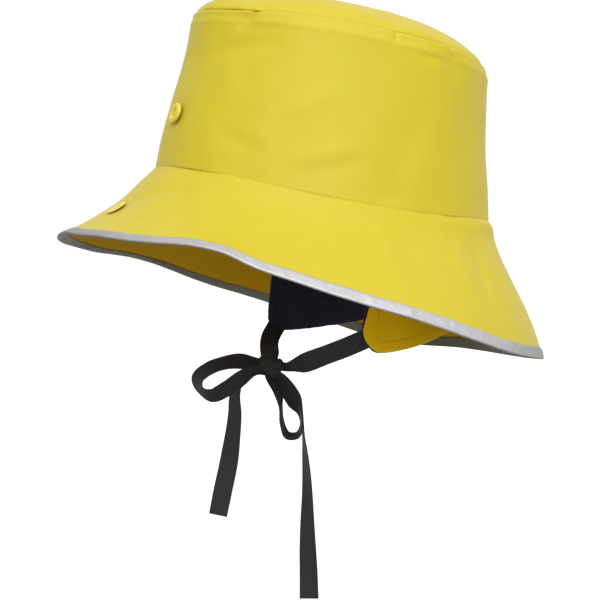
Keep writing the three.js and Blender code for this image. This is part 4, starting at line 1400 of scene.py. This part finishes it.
class RAINHAT_OT_add_brim(bpy.types.Operator):
    """Add the flared brim"""

    bl_idname = "rainhat.add_brim"
    bl_label = "Add Brim"

    def execute(self, context):
        reach = np.concatenate([[0.001, 0.016], np.linspace(0.035, 1, BRIM_ROWS)])[:, None]
        upper, normals = brim_surface(ring_angles(), reach, context.scene.rain_hat.wrinkle / MM)
        add_cloth_ring("brim_cloth", upper, upper - normals * brim_thickness(reach), "brim")
        return {"FINISHED"}


def crumpling(angle, value):
    """What the table of crumples says at these angles, each crumple fading to both sides."""
    return sum(one[value] * bell(angle_between(angle, one["angle"]), one["spread"]) for one in TAPE_CRUMPLES)


def tape_reach(angle):
    """Shares of the brim's slope at which the tape's rows lie, from its stitched edge outward."""
    turn = np.radians(angle)
    slope = np.linalg.norm(brim_point(angle, 1) - brim_point(angle, 0.9), axis=-1) / 0.1
    wander = TAPE_WANDER * (np.cos(11 * turn + 1) + np.cos(29 * turn) + 0.7 * np.cos(53 * turn))
    start = 1 - (TAPE_WIDTH + TAPE_SIDE_WIDER * side_share(angle)) / slope + wander
    return start + (1 - start) * np.linspace(0, 1, TAPE_ROWS)[:, None]


def tape_crumples(angle, edge):
    """How far the tape is raised and sunk by its crumples, most between its two held edges."""
    turn = np.radians(angle[0])
    drift = 0.5 * np.cos(turn * 90 + 2 * np.sin(turn * 4))
    soft = ripple(edge, TAPE_SOFT_WAVE, 21)[None, :, None]
    slack = np.sin(np.linspace(0, math.pi, TAPE_ROWS))[:, None, None]
    loose = TAPE_LOOSE + crumpling(angle, "more")
    fine = ripple(edge, TAPE_FINE_WAVE, 22)[None, :, None] * slack**0.5
    return (loose[..., None] * (soft + 0.8 * fine)) * slack + TAPE_DRIFT * drift[None, :, None] * slack


def tape_section(upper, under, normals, crumples):
    """Rows of points round the tape: its outer face from the stitched edge round the brim's edge
    to the hem below, and its inner face back."""
    lifts = np.linspace(TAPE_EDGE_LIFT, TAPE_FOLD_LIFT, TAPE_ROWS)[:, None, None]
    over = upper + normals * np.maximum(TAPE_LEAST_LIFT, lifts + crumples)
    below = under - normals * np.maximum(TAPE_LEAST_LIFT, lifts + TAPE_BELOW * crumples)
    out = unit(upper[-1] - upper[-2])
    half = BRIM_EDGE_CLOTH / 2 + TAPE_FOLD_LIFT
    centre = (upper[-1] + under[-1]) / 2
    turns = np.linspace(TAPE_BEND_START, math.pi - TAPE_BEND_START, TAPE_ROWS)
    rise = normals[-1] * half
    bend = [centre + rise * math.cos(turn) + out * half * 0.95 * math.sin(turn) for turn in turns]
    inside_over = upper + normals * TAPE_INNER_LIFT
    inside_below = under - normals * TAPE_INNER_LIFT
    return np.concatenate([over, np.array(bend), below[::-1], inside_below, inside_over[::-1]])


def tape_map(angle, rows):
    """Map coordinates of the tape: how far round the hat, and how much painted shade it gets there."""
    hidden = rows - 2 * TAPE_ROWS
    turned_under = np.concatenate([np.zeros(TAPE_ROWS), np.linspace(0, 1, TAPE_ROWS), np.ones(hidden)])
    # Painted shade: darker where the tape is turned under the brim and where the crumple table says
    dull = np.clip(crumpling(angle, "dull") + TAPE_UNDER_PAINTED_SHADE * turned_under[:, None], 0, 1)
    return map_of((angle / 360).T, dull.T)


class RAINHAT_OT_add_tape(bpy.types.Operator):
    """Add the reflective tape that binds the brim's edge, and its stitches"""

    bl_idname = "rainhat.add_tape"
    bl_label = "Add Edge Tape"

    def execute(self, context):
        settings = context.scene.rain_hat
        angle = ring_angles(TAPE_COLUMNS)
        reach = tape_reach(angle)
        upper, normals = brim_surface(angle, reach, settings.wrinkle / MM)
        under = upper - normals * brim_thickness(reach)
        section = tape_section(upper, under, normals, tape_crumples(angle, upper[-1]))
        points = tilted(section).transpose(1, 0, 2).reshape(-1, 3)
        faces = closed_faces(TAPE_COLUMNS, len(section))
        uv = tape_map(angle, len(section))
        material = material_of("glass_bead_tape", tape_material, settings.tape_colour)
        add_mesh("edge_tape_band", points, faces, material, ["edge_tape"], uv)

        line, lie = (np.concatenate([one[1], one[1][:1]]) for one in (section, normals))
        add_stitches("tape_stitches", line, lie, TAPE_THREAD)
        return {"FINISHED"}


# Flap


def flap_columns(margin):
    """Angles of the flap's columns, crowded at its front corners, and how far they go down."""
    first = FLAP_SECTIONS[0]["angle"]
    last = FLAP_SECTIONS[-1]["angle"]
    per_degree = math.pi / 180 * SEAM_SIDE
    start = first + margin / per_degree
    span = last - margin / per_degree - start
    even = np.linspace(0, 1, FLAP_COLUMNS)
    share = mix(even, (1 - np.cos(math.pi * even)) / 2, FLAP_CROWDING)
    angle = start + span * share
    from_end = np.minimum(share, 1 - share) * span * per_degree
    radius = np.where(share < 0.5, NEAR_CORNER, FAR_CORNER) - margin
    cut = np.maximum(0, radius - from_end) / radius
    power = np.where(share < 0.5, NEAR_CORNER_POWER, FAR_CORNER_POWER)
    rise = radius * (1 - np.maximum(0, 1 - cut**power) ** (1 / power))
    row = flap_at(angle)
    end = 1 - (margin + rise) / (FLAP_TUCK - SEAM_DIP * side_share(angle) - row["low"])
    return angle, end, row["low"], row["lean"]


def flap_grid(margin, inside, rows):
    """Points of the flap, a margin inside its edge and a distance inside its outer face."""
    angle, end, low, lean = flap_columns(margin)
    down = np.linspace(0, 1, rows)[:, None] * end
    behind = angle - FLAP_SECTIONS[0]["angle"]
    slant = FLAP_SLANT * np.maximum(0, 1 - down) ** 0.8 * np.exp(-behind / FLAP_SLANT_REACH)
    return flap_point(angle + slant, down, low[None, :], lean[None, :], inside)


def flap_face(margin, rows, wrinkle):
    """The flap's outer face, a margin inside its edge, with a little unevenness."""
    outer = flap_grid(margin, 0, rows)
    normals = normals_of(outer, False, -1)
    return outer + normals * (wrinkle * ripple(outer, FLAP_WAVE, 11))[..., None], normals


def add_fleece(colour):
    """The fleece lining, whose pile is thinner at its lower edge and a little lumpy."""
    back = flap_grid(FLEECE_MARGIN, FLAP_CLOTH + FLEECE_GAP, FLEECE_ROWS)
    down = np.linspace(0, 1, FLEECE_ROWS)[:, None]
    edge = np.minimum(1, (1 - down) * FLEECE_EDGE)
    pile = FLEECE * (0.55 + 0.45 * np.sqrt(edge))
    pile = pile + 0.18 * ripple(back, FLEECE_LONG_WAVE, 12) + 0.1 * ripple(back, FLEECE_SHORT_WAVE, 13)
    front = back - normals_of(back, False, -1) * pile[..., None]
    points, faces = sheet_shell(tilted(back), tilted(front))
    fleece = material_of("polar_fleece", fleece_material, colour)
    add_mesh("flap_fleece", points, faces, fleece, ["flap_lining"])


class RAINHAT_OT_add_flap(bpy.types.Operator):
    """Add the ear-and-neck flap, its fleece lining and the stitches through both"""

    bl_idname = "rainhat.add_flap"
    bl_label = "Add Flap"

    def execute(self, context):
        settings = context.scene.rain_hat
        wrinkle = settings.wrinkle / MM
        outer, normals = flap_face(0, FLAP_ROWS, wrinkle)
        points, faces = sheet_shell(tilted(outer), tilted(outer - normals * FLAP_CLOTH))
        # The flap's face in the knit material, coloured as painted shade and warm bounced light under the
        # brim
        knit = material_of("flap_knit", backing_material, "flap_knit", settings.flap_shade_colour)
        add_mesh("flap_cloth", points, faces, knit, ["ear_neck_flap"])
        add_fleece(settings.fleece_colour)

        line, lie = flap_face(STITCH_MARGIN, FLAP_ROWS, wrinkle)
        route, outward = (np.concatenate([one[:, 0], one[-1, 1:], one[-2::-1, -1]]) for one in (line, lie))
        add_stitches("flap_stitches", route, outward, FLAP_THREAD)
        return {"FINISHED"}


# Snaps


def snap_seat(surface, snap):
    """Where a snap sits: its point and three unit directions, the last one out of the cloth."""
    angle = snap["angle"]
    place = snap["place"]
    step = place / 50
    around = unit(surface(angle + 1, place) - surface(angle - 1, place))
    along = surface(angle, place + step) - surface(angle, place - step)
    normal = unit(np.cross(around, along))
    normal = -normal if normal[1] > 0 else normal
    return surface(angle, place), around, np.cross(normal, around), normal


def turned(name, outline, seat, material, replaced):
    """A round part from its outline of radius and height, on its seat."""
    point, around, across, normal = seat
    turns = np.radians(np.arange(SNAP_SIDES) * 360 / SNAP_SIDES)
    spread = around * np.cos(turns)[:, None] + across * np.sin(turns)[:, None]
    rings = np.array([point + spread * max(radius, 0.01) + normal * height for radius, height in outline])
    faces = closed_faces(len(outline), SNAP_SIDES)
    add_mesh(name, tilted(rings).reshape(-1, 3), faces, material, [replaced])


def add_snap(prefix, surface, snap, material):
    """A snap half: the ring with its well, and the cap on the other side with its post."""
    seat = snap_seat(surface, snap)
    height = snap["height"]
    bore = SNAP_POST_RADIUS + 0.1
    ring = [(bore, GAP), (SNAP_RADIUS - 0.3, GAP + SNAP_DISH * 0.6), (SNAP_RADIUS, GAP + SNAP_DISH)]
    ring += [(SNAP_RADIUS - row["inset"], GAP + row["height"] * height) for row in SNAP_RING]
    ring += [(SNAP_WELL_RADIUS - row["inset"], GAP + row["height"] * height) for row in SNAP_WELL]
    ring += [(bore, GAP + SNAP_WELL_FLOOR * height)]
    turned(f"{prefix}_snap_ring", ring, seat, material, f"{prefix}_snap_socket")

    face = -CLOTH - GAP
    base = face - SNAP_DISH
    cap = [
        (0, base - SNAP_CAP_HEIGHT),
        (SNAP_CAP_RADIUS - 2, base - SNAP_CAP_HEIGHT + 0.08),
        (SNAP_CAP_RADIUS - 0.9, base - SNAP_CAP_HEIGHT + 0.35),
        (SNAP_CAP_RADIUS - 0.2, base - 0.7),
        (SNAP_CAP_RADIUS, base - 0.35),
        (SNAP_CAP_RADIUS, base),
        (SNAP_POST_RADIUS, face),
        (SNAP_POST_RADIUS, GAP + 0.6 * height),
        (0.7, GAP + SNAP_POST_TOP * height),
        (0, GAP + SNAP_POST_TOP * height),
    ]
    turned(f"{prefix}_snap_back", cap, seat, material, f"{prefix}_snap_cap")


class RAINHAT_OT_add_snaps(bpy.types.Operator):
    """Add the snap halves on the crown and on the brim"""

    bl_idname = "rainhat.add_snaps"
    bl_label = "Add Snaps"

    def execute(self, context):
        material = material_of("moulded_acetal", plastic_material, context.scene.rain_hat.snap_colour)
        add_snap("crown", wall_point, CROWN_SNAP, material)
        add_snap("brim", brim_point, BRIM_SNAP, material)
        return {"FINISHED"}


# Panel and registration


STEPS = ("add_stage", "add_ribbons", "add_crown", "add_brim", "add_tape", "add_flap", "add_snaps")


class RAINHAT_PT_panel(bpy.types.Panel):
    """The hat's settings and the steps that build it"""

    bl_idname = "RAINHAT_PT_panel"
    bl_label = "Rain Hat"
    bl_space_type = "VIEW_3D"
    bl_region_type = "UI"
    bl_category = "Rain Hat"

    def draw(self, context):
        settings = context.scene.rain_hat
        for name in settings.__annotations__:
            self.layout.prop(settings, name)
        for step in STEPS:
            self.layout.operator(f"rainhat.{step}")


CLASSES = (
    RainHatSettings,
    RAINHAT_OT_add_stage,
    RAINHAT_OT_add_ribbons,
    RAINHAT_OT_add_crown,
    RAINHAT_OT_add_brim,
    RAINHAT_OT_add_tape,
    RAINHAT_OT_add_flap,
    RAINHAT_OT_add_snaps,
    RAINHAT_PT_panel,
)


def register():
    """Makes the settings, the steps and the panel known to Blender."""
    for one in CLASSES:
        bpy.utils.register_class(one)
    bpy.types.Scene.rain_hat = bpy.props.PointerProperty(type=RainHatSettings)


def unregister():
    """Takes them away again."""
    del bpy.types.Scene.rain_hat
    for one in reversed(CLASSES):
        bpy.utils.unregister_class(one)


def main():
    """Builds the hat step by step."""
    register()
    for step in STEPS:
        getattr(bpy.ops.rainhat, step)()


if __name__ == "__main__":
    main()
